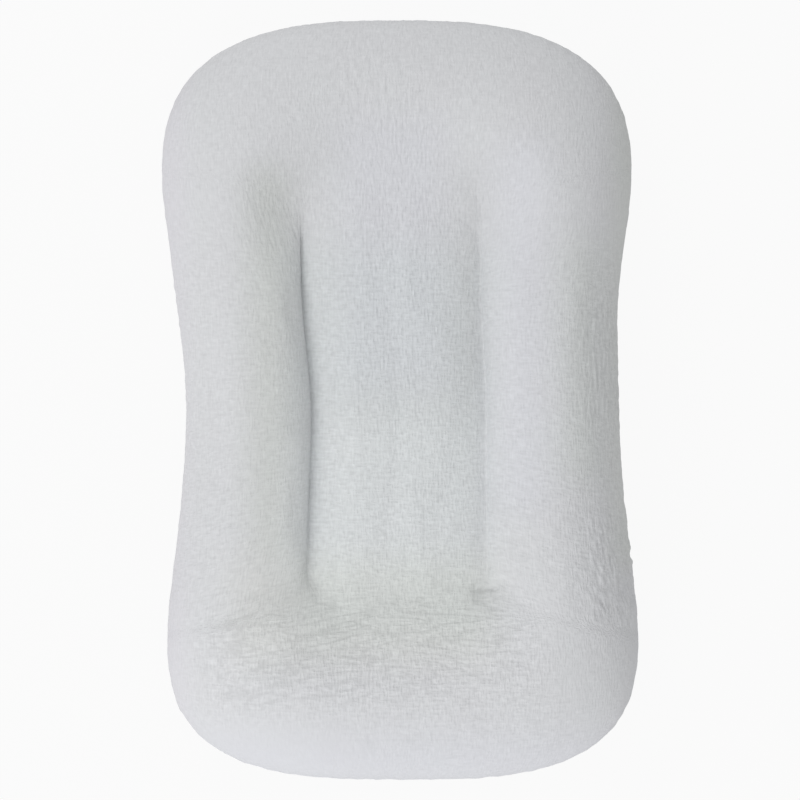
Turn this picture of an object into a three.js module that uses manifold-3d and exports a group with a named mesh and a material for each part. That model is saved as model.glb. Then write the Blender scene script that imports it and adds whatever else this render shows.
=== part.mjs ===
// An infant lounger, life size: a stuffed ring-shaped bolster round a shallow well, in a zipped muslin cover.
// Millimetres. +X is the right-hand side seen from above with the head end up, +Y is the head end, +Z is up.
// The origin is the middle of the underside, on the surface that the lounger lies on.
// Layers from the outside in: muslin cover, cotton shell, fibre filling. Between the bolster's two long
// sides the shell's top and bottom are sewn together along two channels, which makes a sling.

import * as THREE from "three";
import { mergeVertices } from "three/addons/utils/BufferGeometryUtils.js";
import Module from "manifold-3d";

const wasm = await Module();
wasm.setup();

// Outline, seen from above
const overallLength = 737;
const headWidth = 456;
const waistWidth = 420;
const footWidth = 457;
const headCapLength = 154.5; // the length over which the head end closes from its full width
const footCapLength = 146;
const headCapPower = 2.75; // 2 is an ellipse, and more is squarer
const footCapPower = 3;
const waistPlace = 7.5; // how far the narrowest place lies from the middle, towards the head
const waistPower = 1.4;
const headDrift = -3.2; // how far the soft body leans to one side at the head and at the foot
const footDrift = 2.7;
const driftStart = 120; // the lean changes over between these two places along the length
const driftEnd = -20;

// Section through the bolster
const sideHeight = 125; // at the crown of the two long sides
const headHeight = 110;
const footHeight = 114;
const seamHeight = 50; // of the widest line, where the top and bottom panels are sewn together
const crownShare = 0.57; // where the crown lies, as a share of the way from the outline to the well's edge
const floorReach = 36; // from the outline in to where the underside meets the floor
const floorWidth = 46; // of the band that rests on the floor

// Well and sling
const wellWidth = 172; // between the two channels
const wellOffset = -5; // from the middle of the body to the middle of the well
const spineHead = 197; // the two ends of the well's middle line
const spineFoot = -187;
const wellEndReach = 22; // of the well's rounded edge past the end of its middle line
const wellEndPower = 2.5;
const creaseFadeHead = 95; // the length over which each channel runs out into the end of the well
const creaseFadeFoot = 20;
const slingHeight = 88; // of the muslin at the channels, half way along
const slingEndRise = 12;
const slingEndPower = 3; // more keeps the rise closer to the ends
const slingCrown = 10; // how far the pad lifts the muslin between the channels
const slingSectionPower = 3; // more keeps the sling's section flatter in the middle
const slingCrownPower = 4;
const slingBelly = 8; // how far the pad hangs below the channels
const endPadDepth = 10; // of the filling past the channels' ends, where nothing is sewn through

// Layers
const coverThickness = 1.2;
const bindingThickness = 0.8;
const shellThickness = 0.8;
const layerGap = 0.5;
const sewnGap = 0.3; // between two pieces of cloth that are sewn edge to edge
const bindingHalfHeight = 6;
const shellDepth = coverThickness + layerGap + bindingThickness + layerGap;
const shellInnerDepth = shellDepth + shellThickness;
const fillDepth = shellInnerDepth + layerGap + bindingThickness + layerGap;
const channelDepth = shellInnerDepth + layerGap + shellThickness; // of the shell's lower cloth at a channel

// Underside of the cover: a level middle, clear of the floor, that carries the zip
const plateauHeight = 14;
const plateauMargin = 34; // level cloth round the zip's opening
const openingHalfWidth = 7;
const openingHalfLength = 195; // of the straight part; the ends are round

// Zip
const tapeThickness = 0.6;
const tapeOuterEdge = 16;
const tapeEndMargin = 3; // past the opening's round end
const chainEndMargin = 10; // from the last tooth to the end of the opening's straight part
const toothPitch = 5;
const toothWidth = 1.9;
const toothReach = 0.9; // past the middle line
const beadInner = 1.6;
const beadOuter = 3;
const chainThickness = 2.4;
const sliderLength = 12;
const sliderFrontWidth = 11.5;
const sliderBackWidth = 8.4;
const sliderPlate = 1.1;
const sliderClearance = 0.3;
const sliderFlange = 1; // width of the two turned edges that hold the teeth in
const dividerWidth = 1.5;
const dividerLength = 2.4;
const bridgeHalfLength = 4.4;
const bridgeLeg = 1.2;
const bridgeWidth = 1.6;
const bridgeBar = 1.1;
const tabThickness = 1.3;
const tabLength = 28;
const tabWidth = 8;
const tabEyeWidth = 5;
const tabNeckLength = 9; // from the hinge to where the tab has its full width
const tabBar = 1.4; // of the cross bar that turns in the bridge
const tabHole = 2.2; // radius of the round hole near the tab's end
const tabFloorGap = 0.6; // under the tip, which droops towards the floor
const stopLength = 3;

// Small pieces
const channelTapeStartShare = 0.15; // the tape lies between these shares of the sling's first band of cloth
const channelTapeEndShare = 0.75;
const threadDiameter = 0.9;
const threadSides = 6;
const labelWidth = 26;
const labelLength = 40;
const labelThickness = 0.4;
const labelFromMiddle = 128; // towards the foot

// How finely the soft forms are drawn
const capSteps = 6; // in each quarter of the outline's ends
const sideSteps = 9;
const outerSteps = 4; // up the outer flank
const innerShares = [0.25, 0.5, 0.75, 0.93, 1]; // rings down the inner flank to the channel
const lowerSteps = 3; // down to the floor
const slingShares = [0.22, 0.55, 1]; // rings from the channel to the middle line
const riseShares = [0.34, 0.67, 1]; // rings from the floor band up to the level middle

const sharpestBendShare = 0.6; // layers keep their thickness round bends down to this cosine
const mergeDistance = 1e-3;

const headCapStart = overallLength / 2 - headCapLength;
const footCapStart = footCapLength - overallLength / 2;
const wellMiddle = (spineHead + spineFoot) / 2;
const spineHalf = (spineHead - spineFoot) / 2;
const creaseRing = outerSteps + innerShares.length;
const quarterTurn = Math.PI / 2;
const UP = new THREE.Vector3(0, 0, 1);
const DOWN = new THREE.Vector3(0, 0, -1);

// How far the body leans sideways at one place along its length.
function driftAt(y) {
  const towardsHead = THREE.MathUtils.smoothstep(y, driftEnd, driftStart);
  return THREE.MathUtils.lerp(footDrift, headDrift, towardsHead);
}

// Half the outline's width between its two ends.
function halfWidthAt(y) {
  const [width, place] = y > waistPlace ? [headWidth, headCapStart] : [footWidth, footCapStart];
  const away = Math.min((y - waistPlace) / (place - waistPlace), 1);
  return (width - (width - waistWidth) * (1 - away ** 2) ** waistPower) / 2;
}

// The middle line of the well, by its share of the way from foot to head.
function spinePoint(share) {
  const y = THREE.MathUtils.lerp(spineFoot, spineHead, share);
  return new THREE.Vector2(driftAt(y) + wellOffset, y);
}

// A place on the outline's long side: side is 1 on the right and -1 on the left.
function sideStation(side, share) {
  const y = THREE.MathUtils.lerp(footCapStart, headCapStart, share);
  const spine = spinePoint(share);
  return {
    outline: new THREE.Vector2(driftAt(y) + side * halfWidthAt(y), y),
    spine,
    crease: new THREE.Vector2(spine.x + (side * wellWidth) / 2, spine.y),
    crownHeight: sideHeight,
    opening: new THREE.Vector2(side * openingHalfWidth, (2 * share - 1) * openingHalfLength),
  };
}

// A place on one rounded end: angle runs from 0 at the right-hand side over the end to pi at the left.
function capStation(end, angle) {
  const head = end > 0;
  const power = head ? headCapPower : footCapPower;
  const start = head ? headCapStart : footCapStart;
  const across = Math.sign(Math.cos(angle)) * Math.abs(Math.cos(angle)) ** (2 / power);
  const along = Math.sin(angle) ** (2 / power);
  const outline = new THREE.Vector2(
    driftAt(start) + across * halfWidthAt(start),
    start + end * along * (head ? headCapLength : footCapLength),
  );
  const spine = spinePoint(head ? 1 : 0);
  const way = outline.clone().sub(spine).normalize();
  const wellReach =
    1 /
    (Math.abs((2 * way.x) / wellWidth) ** wellEndPower + Math.abs(way.y / wellEndReach) ** wellEndPower) **
      (1 / wellEndPower);
  const openingEnd = new THREE.Vector2(0, end * openingHalfLength);
  const openingWay = new THREE.Vector2(Math.cos(angle), end * Math.sin(angle));
  return {
    outline,
    spine,
    crease: spine.clone().addScaledVector(way, wellReach),
    crownHeight: THREE.MathUtils.lerp(sideHeight, head ? headHeight : footHeight, Math.sin(angle) ** 2),
    opening: openingEnd.addScaledVector(openingWay, openingHalfWidth),
  };
}

// Every station, anticlockwise from the middle of the foot end.
function makeStations() {
  const quarter = [...Array(capSteps).keys()];
  const side = [...Array(sideSteps + 1).keys()];
  const angle = (step) => (step / capSteps) * quarterTurn;
  return [
    ...quarter.map((i) => capStation(-1, angle(capSteps - i))),
    ...side.map((i) => sideStation(1, i / sideSteps)),
    ...quarter.map((i) => capStation(1, angle(i + 1))),
    ...quarter.slice(1).map((i) => capStation(1, angle(capSteps + i))),
    ...side.map((i) => sideStation(-1, 1 - i / sideSteps)),
    ...quarter.slice(1).map((i) => capStation(-1, angle(2 * capSteps - i))),
  ];
}

const stations = makeStations();
const footMiddle = 0;
const rightStart = capSteps;
const rightEnd = capSteps + sideSteps;
const headMiddle = rightEnd + capSteps;
const leftStart = headMiddle + capSteps;
const leftEnd = leftStart + sideSteps;
const footMiddleAgain = leftEnd + capSteps;

// How sharply the bolster drops into its channel at a station: 1 is a sewn channel, 0 a smooth slope.
function creaseSharpness(station) {
  const y = station.crease.y;
  const head = THREE.MathUtils.smoothstep(y, spineHead - creaseFadeHead, spineHead + wellEndReach);
  const foot = THREE.MathUtils.smoothstep(-y, -spineFoot - creaseFadeFoot, wellEndReach - spineFoot);
  return (1 - head) * (1 - foot);
}

function slingHeightAt(y) {
  return slingHeight + slingEndRise * Math.abs((y - wellMiddle) / spineHalf) ** slingEndPower;
}

function slingCrownAt(y) {
  return slingCrown * Math.max(0, 1 - Math.abs((y - wellMiddle) / spineHalf) ** slingCrownPower);
}

// Height of the muslin between the channels.
function slingSurfaceAt(place, spine) {
  const across = Math.abs(place.x - spine.x) / (wellWidth / 2);
  return slingHeightAt(place.y) + slingCrownAt(place.y) * (1 - across ** slingSectionPower);
}

function at(plan, z) {
  return new THREE.Vector3(plan.x, plan.y, z);
}

// The muslin's top surface along one station: up the outer flank, over the crown, down into the channel
// and across the sling to the middle line.
function topRow(station) {
  const { outline, spine, crease, crownHeight } = station;
  const base = seamHeight + sewnGap / 2;
  const edgeHeight = slingHeightAt(crease.y);
  const crown = outline.clone().lerp(crease, crownShare);
  const sharp = creaseSharpness(station);
  const row = [];
  for (let i = 0; i < outerSteps; i++) {
    const angle = (i / outerSteps) * quarterTurn;
    const height = THREE.MathUtils.lerp(base, crownHeight, Math.sin(angle));
    row.push(at(outline.clone().lerp(crown, 1 - Math.cos(angle)), height));
  }
  for (const share of [0, ...innerShares]) {
    const angle = share * quarterTurn;
    const away = Math.sin(angle);
    const slope = (1 + Math.cos(Math.PI * away)) / 2;
    const drop = THREE.MathUtils.lerp(slope, Math.cos(angle), sharp);
    row.push(at(crown.clone().lerp(crease, away), THREE.MathUtils.lerp(edgeHeight, crownHeight, drop)));
  }
  for (const share of slingShares) {
    const place = crease.clone().lerp(spine, share);
    row.push(at(place, slingSurfaceAt(place, spine)));
  }
  return row;
}

// The place on a station that lies a given distance in from the outline.
function inFrom(station, distance) {
  const way = station.crease.clone().sub(station.outline).normalize();
  return station.outline.clone().addScaledVector(way, distance);
}

// The muslin's underside along one station, as far as the inner edge of the band that rests on the floor.
function lowerRow(station) {
  const row = [];
  for (let i = 0; i <= lowerSteps; i++) {
    const angle = (i / lowerSteps) * quarterTurn;
    const height = (seamHeight - sewnGap / 2) * (1 - Math.sin(angle));
    row.push(at(inFrom(station, floorReach * (1 - Math.cos(angle))), height));
  }
  row.push(at(inFrom(station, floorReach + floorWidth), 0));
  return row;
}

// The rest of the muslin's underside: up to the level middle and in to the edge of the zip's opening.
function undersideRow(station) {
  const row = lowerRow(station);
  const start = row[row.length - 1];
  const edge = at(station.opening, plateauHeight);
  const length = Math.hypot(edge.x - start.x, edge.y - start.y);
  const levelShare = Math.max(1 - plateauMargin / length, 0);
  for (const share of riseShares) {
    const place = start.clone().lerp(edge, share * levelShare);
    place.z = plateauHeight * THREE.MathUtils.smoothstep(share, 0, 1);
    row.push(place);
  }
  row.push(edge);
  return row;
}

// The unit direction from one point to the next.
function wayFrom(a, b) {
  return b.clone().sub(a).normalize();
}

// A surface is an array of stations, each an array of points from the outline inwards.
// Its normals point out of the lounger, and are lengthened at bends so that layers keep their thickness.
function normalsOf(surface, middleNormal) {
  const facing = middleNormal.z;
  const count = surface.length;
  return surface.map((row, s) =>
    row.map((point, r) => {
      if (r === row.length - 1) return middleNormal.clone();
      const along = wayFrom(surface[(s + count - 1) % count][r], point).add(
        wayFrom(point, surface[(s + 1) % count][r]),
      );
      const alongShare = along.length() / 2;
      if (r === 0) return along.cross(UP).setLength(1 / alongShare);
      const across = wayFrom(row[r - 1], point).add(wayFrom(point, row[r + 1]));
      const share = Math.max((alongShare * across.length()) / 2, sharpestBendShare);
      return along.cross(across).setLength(facing / share);
    }),
  );
}

// The same surface, moved into the lounger by a depth; a negative depth moves it out.
function layer(master, depth) {
  return master.points.map((row, s) =>
    row.map((point, r) => point.clone().addScaledVector(master.normals[s][r], -depth)),
  );
}

function master(points, middleNormal) {
  return { points, normals: normalsOf(points, middleNormal) };
}

const top = master(stations.map(topRow), UP);
const underside = master(stations.map(undersideRow), DOWN);
const shellTopInside = layer(top, shellInnerDepth);

// The shell's underside: it follows the cover down to the floor band, then climbs the bolster's inner
// flank to the channel, and runs across below the sling.
function shellLowerRow(station, s) {
  const outer = layer(underside, shellDepth)[s].slice(0, lowerSteps + 2);
  const foot = outer[outer.length - 1];
  const channel = shellTopInside[s][creaseRing].clone();
  const inward = at(station.spine, 0).sub(at(station.crease, 0)).normalize();
  channel.addScaledVector(inward, shellThickness);
  const sharp = creaseSharpness(station);
  channel.z -= layerGap + shellThickness + endPadDepth * (1 - sharp);
  const row = [...outer];
  for (const share of innerShares) {
    const angle = share * quarterTurn;
    const away = Math.sin(angle);
    const climb = THREE.MathUtils.lerp((1 - Math.cos(Math.PI * away)) / 2, 1 - Math.cos(angle), sharp);
    const place = foot.clone().lerp(channel, away);
    place.z = THREE.MathUtils.lerp(foot.z, channel.z, climb);
    row.push(place);
  }
  const middle = at(station.spine, 0);
  for (const share of slingShares) {
    const place = channel.clone().lerp(middle, share);
    const hanging = slingHeightAt(place.y) - channelDepth - slingBelly;
    const across = 1 - share;
    place.z = THREE.MathUtils.lerp(hanging, channel.z, across ** slingSectionPower);
    row.push(place);
  }
  return row;
}

const shellUnder = master(stations.map(shellLowerRow), DOWN);

// Bodies made of triangles

// A closed geometry from a list of corners, three to a triangle: corners in the same place are shared,
// triangles that have collapsed are dropped, and the faces are turned outwards.
function closedGeometry(corners) {
  const loose = new THREE.BufferGeometry().setFromPoints(corners);
  const merged = mergeVertices(loose, mergeDistance);
  const index = merged.index.array;
  const kept = [];
  for (let i = 0; i < index.length; i += 3) {
    const [a, b, c] = index.slice(i, i + 3);
    if (a !== b && b !== c && c !== a) kept.push(a, b, c);
  }
  merged.setIndex(kept);
  if (signedVolume(merged) < 0) merged.setIndex(kept.reverse());
  return merged;
}

function signedVolume(geometry) {
  const position = geometry.getAttribute("position");
  const index = geometry.index.array;
  const [a, b, c] = [new THREE.Vector3(), new THREE.Vector3(), new THREE.Vector3()];
  let sum = 0;
  for (let i = 0; i < index.length; i += 3) {
    a.fromBufferAttribute(position, index[i]);
    b.fromBufferAttribute(position, index[i + 1]);
    c.fromBufferAttribute(position, index[i + 2]);
    sum += a.dot(b.cross(c));
  }
  return sum;
}

// The body between two matching surfaces. A loop goes all the way round, and a zipped one has its last
// ring on the middle line, where the two sides meet and no edge is left open.
function bodyBetween(outer, inner, { loop = false, zipped = false } = {}) {
  const corners = [];
  const quad = (a, b, c, d) => corners.push(a, b, c, a, c, d);
  const count = outer.length;
  const last = outer[0].length - 1;
  for (let s = 0; s < (loop ? count : count - 1); s++) {
    const n = (s + 1) % count;
    for (let r = 0; r < last; r++) {
      quad(outer[s][r], outer[n][r], outer[n][r + 1], outer[s][r + 1]);
      quad(inner[n][r + 1], inner[n][r], inner[s][r], inner[s][r + 1]);
    }
    quad(inner[s][0], inner[n][0], outer[n][0], outer[s][0]);
    if (!zipped) quad(outer[s][last], outer[n][last], inner[n][last], inner[s][last]);
  }
  for (let r = 0; r < last && !loop; r++) {
    quad(outer[0][r], outer[0][r + 1], inner[0][r + 1], inner[0][r]);
    quad(outer[count - 1][r], inner[count - 1][r], inner[count - 1][r + 1], outer[count - 1][r + 1]);
  }
  return closedGeometry(corners);
}

// The points of one ring, and the points part of the way from one ring to the next.
function between(surface, ring, share) {
  return surface.map((row) => row[ring].clone().lerp(row[ring + 1], share));
}

// Some stations of a surface, in order, going round past the last one to the first.
function stretch(surface, from, to) {
  const rows = [];
  for (let s = from; s <= to; s++) rows.push(surface[s % surface.length]);
  return rows;
}

// A stretch whose first and last stations are drawn in, so that it stays clear of its neighbours.
function stretchApart(surface, from, to, gap) {
  const rows = stretch(surface, from, to);
  const drawnIn = (row, next) =>
    row.map((point, r) => point.clone().add(wayFrom(point, next[r]).multiplyScalar(gap / 2)));
  const first = drawnIn(rows[0], rows[1]);
  const final = drawnIn(rows[rows.length - 1], rows[rows.length - 2]);
  return [first, ...rows.slice(1, -1), final];
}

function solidOf(geometry) {
  const bare = geometry.clone();
  bare.deleteAttribute("normal");
  bare.deleteAttribute("uv");
  const merged = mergeVertices(bare, mergeDistance);
  const mesh = new wasm.Mesh({
    numProp: 3,
    vertProperties: merged.getAttribute("position").array,
    triVerts: new Uint32Array(merged.index.array),
  });
  return new wasm.Manifold(mesh);
}

function geometryOf(solid) {
  const mesh = solid.getMesh();
  const geometry = new THREE.BufferGeometry();
  geometry.setAttribute("position", new THREE.BufferAttribute(new Float32Array(mesh.vertProperties), 3));
  geometry.setIndex([...mesh.triVerts]);
  return geometry;
}

function joined(geometries) {
  return geometryOf(geometries.map(solidOf).reduce((sum, part) => sum.add(part)));
}

// A box between two corners.
function block(low, high) {
  const size = high.clone().sub(low);
  const middle = low.clone().add(high).multiplyScalar(0.5);
  return new THREE.BoxGeometry(size.x, size.y, size.z).translate(middle.x, middle.y, middle.z);
}

function vec(x, y, z) {
  return new THREE.Vector3(x, y, z);
}

// Materials
const muslin = new THREE.MeshStandardMaterial({ color: 0xd3d8d6, roughness: 0.95 });
const canvas = new THREE.MeshStandardMaterial({ color: 0xece6d8, roughness: 0.9 });
const fibre = new THREE.MeshStandardMaterial({ color: 0xf7f6f2, roughness: 1 });
const ribbon = new THREE.MeshStandardMaterial({ color: 0xd9dcda, roughness: 0.85 });
const thread = new THREE.MeshStandardMaterial({ color: 0xe8e6de, roughness: 0.7 });
const nylon = new THREE.MeshStandardMaterial({ color: 0xe3e6e4, roughness: 0.45 });
const enamel = new THREE.MeshStandardMaterial({ color: 0xdde0de, roughness: 0.3, metalness: 0.1 });
const satin = new THREE.MeshStandardMaterial({ color: 0xf4f4f1, roughness: 0.5 });

const lounger = new THREE.Group();

function add(name, geometry, material, parent = lounger) {
  const mesh = new THREE.Mesh(geometry, material);
  mesh.name = name;
  parent.add(mesh);
  return mesh;
}

// A binding that backs the seam between a top and a bottom layer, all the way round.
function seamBinding(depth) {
  const heightShare = (row) => bindingHalfHeight / row[0].distanceTo(row[1]);
  const edge = (surface) => surface.map((row) => row[0].clone().lerp(row[1], heightShare(row)));
  const face = (faceDepth) => {
    const upper = edge(layer(top, faceDepth));
    const lower = edge(layer(underside, faceDepth));
    const seam = layer(top, faceDepth).map((row) => vec(row[0].x, row[0].y, seamHeight));
    return stations.map((_, s) => [lower[s], seam[s], upper[s]]);
  };
  return bodyBetween(face(depth), face(depth + bindingThickness), { loop: true });
}

function addCover() {
  const whole = { loop: true, zipped: true };
  add("cover_top_panel", bodyBetween(layer(top, 0), layer(top, coverThickness), whole), muslin);
  const panel = (from, to) =>
    bodyBetween(
      stretchApart(layer(underside, 0), from, to, sewnGap),
      stretchApart(layer(underside, coverThickness), from, to, sewnGap),
    );
  add("cover_bottom_panel_right", panel(footMiddle, headMiddle), muslin);
  add("cover_bottom_panel_left", panel(headMiddle, footMiddleAgain), muslin);
  add("cover_seam_binding", seamBinding(coverThickness + layerGap), ribbon);
  const labelX = openingHalfWidth + plateauMargin / 2;
  const labelTop = plateauHeight - sewnGap;
  const label = block(
    vec(labelX - labelWidth / 2, -labelFromMiddle - labelLength / 2, labelTop - labelThickness),
    vec(labelX + labelWidth / 2, -labelFromMiddle + labelLength / 2, labelTop),
  );
  add("care_label", label, satin);
}

function addShell() {
  const whole = { loop: true, zipped: true };
  const lowerOutside = layer(shellUnder, 0);
  add("shell_top_panel", bodyBetween(layer(top, shellDepth), shellTopInside, whole), canvas);
  add("shell_bottom_panel", bodyBetween(lowerOutside, layer(shellUnder, shellThickness), whole), canvas);
  add("shell_seam_binding", seamBinding(shellInnerDepth + layerGap), canvas);
  const sides = { right: [rightStart, rightEnd], left: [leftStart, leftEnd] };
  for (const [side, [from, to]] of Object.entries(sides)) {
    const face = (depth) => {
      const surface = layer(shellUnder, depth);
      const near = between(surface, creaseRing, channelTapeStartShare);
      const far = between(surface, creaseRing, channelTapeEndShare);
      return stretch(surface.map((_, s) => [near[s], far[s]]), from, to);
    };
    const tape = bodyBetween(face(-layerGap - bindingThickness), face(-layerGap));
    add("channel_tape_" + side, tape, ribbon);
    const threadDepth = -layerGap - bindingThickness - layerGap - threadDiameter / 2;
    const threadShare = (channelTapeStartShare + channelTapeEndShare) / 2;
    const line = between(layer(shellUnder, threadDepth), creaseRing, threadShare);
    add("channel_stitching_" + side, threadAlong(stretch(line, from, to)), thread);
  }
}

// A round thread through a list of points.
function threadAlong(points) {
  const section = new THREE.Shape();
  for (let i = 0; i < threadSides; i++) {
    const angle = (i / threadSides) * 4 * quarterTurn;
    const [x, y] = [(Math.cos(angle) * threadDiameter) / 2, (Math.sin(angle) * threadDiameter) / 2];
    if (i === 0) section.moveTo(x, y);
    else section.lineTo(x, y);
  }
  const path = new THREE.CatmullRomCurve3(points);
  return new THREE.ExtrudeGeometry(section, { steps: 3 * points.length, extrudePath: path });
}

function addFilling() {
  const upper = layer(top, fillDepth);
  const lower = layer(shellUnder, fillDepth - shellDepth);
  const cut = (surface) => surface.map((row) => row.slice(0, creaseRing));
  const mass = (from, to) =>
    bodyBetween(stretchApart(cut(upper), from, to, layerGap), stretchApart(cut(lower), from, to, layerGap));
  add("bolster_fill_right", mass(rightStart, rightEnd), fibre);
  add("bolster_fill_head", mass(rightEnd, leftStart), fibre);
  add("bolster_fill_left", mass(leftStart, leftEnd), fibre);
  add("bolster_fill_foot", mass(leftEnd, footMiddleAgain + capSteps), fibre);
  const inside = (surface) => surface.map((row) => row.slice(creaseRing + 1));
  const padTop = inside(layer(top, shellInnerDepth + layerGap));
  const padUnder = inside(layer(shellUnder, shellThickness + layerGap));
  add("sling_pad", bodyBetween(padTop, padUnder, { loop: true, zipped: true }), fibre);
}

// Zip, laid along Y with its chain's middle on the line x = 0

const chainHeight = plateauHeight + coverThickness + sewnGap + tapeThickness / 2;
const toothCount = Math.floor((2 * (openingHalfLength - chainEndMargin)) / toothPitch);
const chainHalf = (toothCount * toothPitch) / 2;
const sliderPlace = -chainHalf + sliderLength / 2 - dividerLength;
const channelHalf = chainThickness / 2 + sliderClearance;
const plateUnder = chainHeight - channelHalf - sliderPlate;
const bridgeOpening = Math.hypot(tabBar, tabThickness) + 2 * sliderClearance;
const hingeHeight = plateUnder - bridgeOpening / 2;
const tabDroop = Math.asin((hingeHeight - tabThickness / 2 - tabFloorGap) / tabLength);

// One side's tape, which reaches in to the middle past the chain's ends: side is 1 on the right.
function tape(side) {
  const [outer, inner, middle] = [side * tapeOuterEdge, side * (beadOuter + sewnGap), (side * sewnGap) / 2];
  const end = openingHalfLength + openingHalfWidth + tapeEndMargin;
  const chainEnd = chainHalf + stopLength + 2 * sewnGap;
  const shape = new THREE.Shape();
  shape.moveTo(outer, -end);
  shape.lineTo(outer, end);
  shape.lineTo(middle, end);
  shape.lineTo(middle, chainEnd);
  shape.lineTo(inner, chainEnd);
  shape.lineTo(inner, -chainEnd);
  shape.lineTo(middle, -chainEnd);
  shape.lineTo(middle, -end);
  return extruded(shape, tapeThickness, 1).translate(0, 0, chainHeight - tapeThickness / 2);
}

// One side's teeth, moulded on a bead: side is 1 on the right and -1 on the left.
function teeth(side) {
  const shape = new THREE.Shape();
  const shift = side > 0 ? toothPitch / 4 : -toothPitch / 4;
  shape.moveTo(side * beadOuter, -chainHalf);
  shape.lineTo(side * beadInner, -chainHalf);
  for (let i = 0; i < toothCount; i++) {
    const middle = -chainHalf + toothPitch / 2 + i * toothPitch + shift;
    shape.lineTo(side * beadInner, middle - toothWidth / 2);
    shape.lineTo(-side * toothReach, middle - toothWidth / 2);
    shape.lineTo(-side * toothReach, middle + toothWidth / 2);
    shape.lineTo(side * beadInner, middle + toothWidth / 2);
  }
  shape.lineTo(side * beadInner, chainHalf);
  shape.lineTo(side * beadOuter, chainHalf);
  const geometry = new THREE.ExtrudeGeometry(shape, { depth: chainThickness, bevelEnabled: false });
  return geometry.translate(0, 0, chainHeight - chainThickness / 2);
}

// The slider's plate seen from above, with its wide end towards -Y.
function sliderOutline(inset) {
  const front = sliderFrontWidth / 2 - inset;
  const back = sliderBackWidth / 2 - inset;
  const half = sliderLength / 2;
  const shape = new THREE.Shape();
  shape.moveTo(-front + sliderPlate, -half);
  shape.lineTo(front - sliderPlate, -half);
  shape.quadraticCurveTo(front, -half, front, -half + 2 * sliderPlate);
  shape.lineTo(back, half - sliderPlate);
  shape.quadraticCurveTo(back, half, back - sliderPlate, half);
  shape.lineTo(sliderPlate - back, half);
  shape.quadraticCurveTo(-back, half, -back, half - sliderPlate);
  shape.lineTo(-front, -half + 2 * sliderPlate);
  shape.quadraticCurveTo(-front, -half, -front + sliderPlate, -half);
  return shape;
}

function extruded(shape, height, curveSegments) {
  return new THREE.ExtrudeGeometry(shape, { depth: height, bevelEnabled: false, curveSegments });
}

// The slider in its own frame: the chain's middle is at the origin and the pull side is down.
function sliderBody() {
  const plateHeight = channelHalf + sliderPlate;
  const slot = tapeThickness / 2 + sliderClearance;
  const outer = solidOf(extruded(sliderOutline(0), 2 * plateHeight, 3).translate(0, 0, -plateHeight));
  const hollow = extruded(sliderOutline(sliderFlange), 2 * channelHalf, 3);
  const endToEnd = hollow.clone().scale(1, 2, 1).translate(0, 0, -channelHalf);
  const slotCorner = vec(sliderFrontWidth, sliderLength, slot);
  const slotCut = block(slotCorner.clone().negate(), slotCorner);
  const divider = block(
    vec(-dividerWidth / 2, -sliderLength / 2, -channelHalf - sliderPlate / 2),
    vec(dividerWidth / 2, -sliderLength / 2 + dividerLength, channelHalf + sliderPlate / 2),
  );
  const barTop = -plateHeight - bridgeOpening;
  const bar = block(
    vec(-bridgeWidth / 2, -bridgeHalfLength, barTop - bridgeBar),
    vec(bridgeWidth / 2, bridgeHalfLength, barTop),
  );
  const legMiddle = bridgeHalfLength - bridgeLeg / 2;
  const leg = (end) =>
    block(
      vec(-bridgeWidth / 2, end * legMiddle - bridgeLeg / 2, barTop - bridgeBar),
      vec(bridgeWidth / 2, end * legMiddle + bridgeLeg / 2, sliderPlate / 2 - plateHeight),
    );
  return geometryOf(
    outer
      .subtract(solidOf(endToEnd))
      .subtract(solidOf(slotCut))
      .add(solidOf(divider))
      .add(solidOf(bar))
      .add(solidOf(leg(1)))
      .add(solidOf(leg(-1))),
  );
}

// The pull tab in its own frame: the cross bar is at the origin and the tab points along +Y.
function pullTab() {
  const eye = tabEyeWidth / 2;
  const half = tabWidth / 2;
  const shape = new THREE.Shape();
  shape.moveTo(-eye, -tabBar / 2);
  shape.lineTo(eye, -tabBar / 2);
  shape.lineTo(eye, tabNeckLength / 2);
  shape.quadraticCurveTo(half, tabNeckLength / 2, half, tabNeckLength);
  shape.lineTo(half, tabLength - half);
  shape.absarc(0, tabLength - half, half, 0, Math.PI);
  shape.lineTo(-half, tabNeckLength);
  shape.quadraticCurveTo(-half, tabNeckLength / 2, -eye, tabNeckLength / 2);
  const windowHalf = bridgeWidth / 2 + sliderClearance;
  const windowEnd = bridgeHalfLength + 2 * sliderClearance;
  const opening = new THREE.Path();
  opening.moveTo(-windowHalf, tabBar / 2);
  opening.lineTo(-windowHalf, windowEnd);
  opening.lineTo(windowHalf, windowEnd);
  opening.lineTo(windowHalf, tabBar / 2);
  const hole = new THREE.Path();
  hole.absarc(0, tabLength - half, tabHole, 0, 2 * Math.PI, true);
  shape.holes.push(opening, hole);
  return extruded(shape, tabThickness, 5).translate(0, 0, -tabThickness / 2);
}

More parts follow.
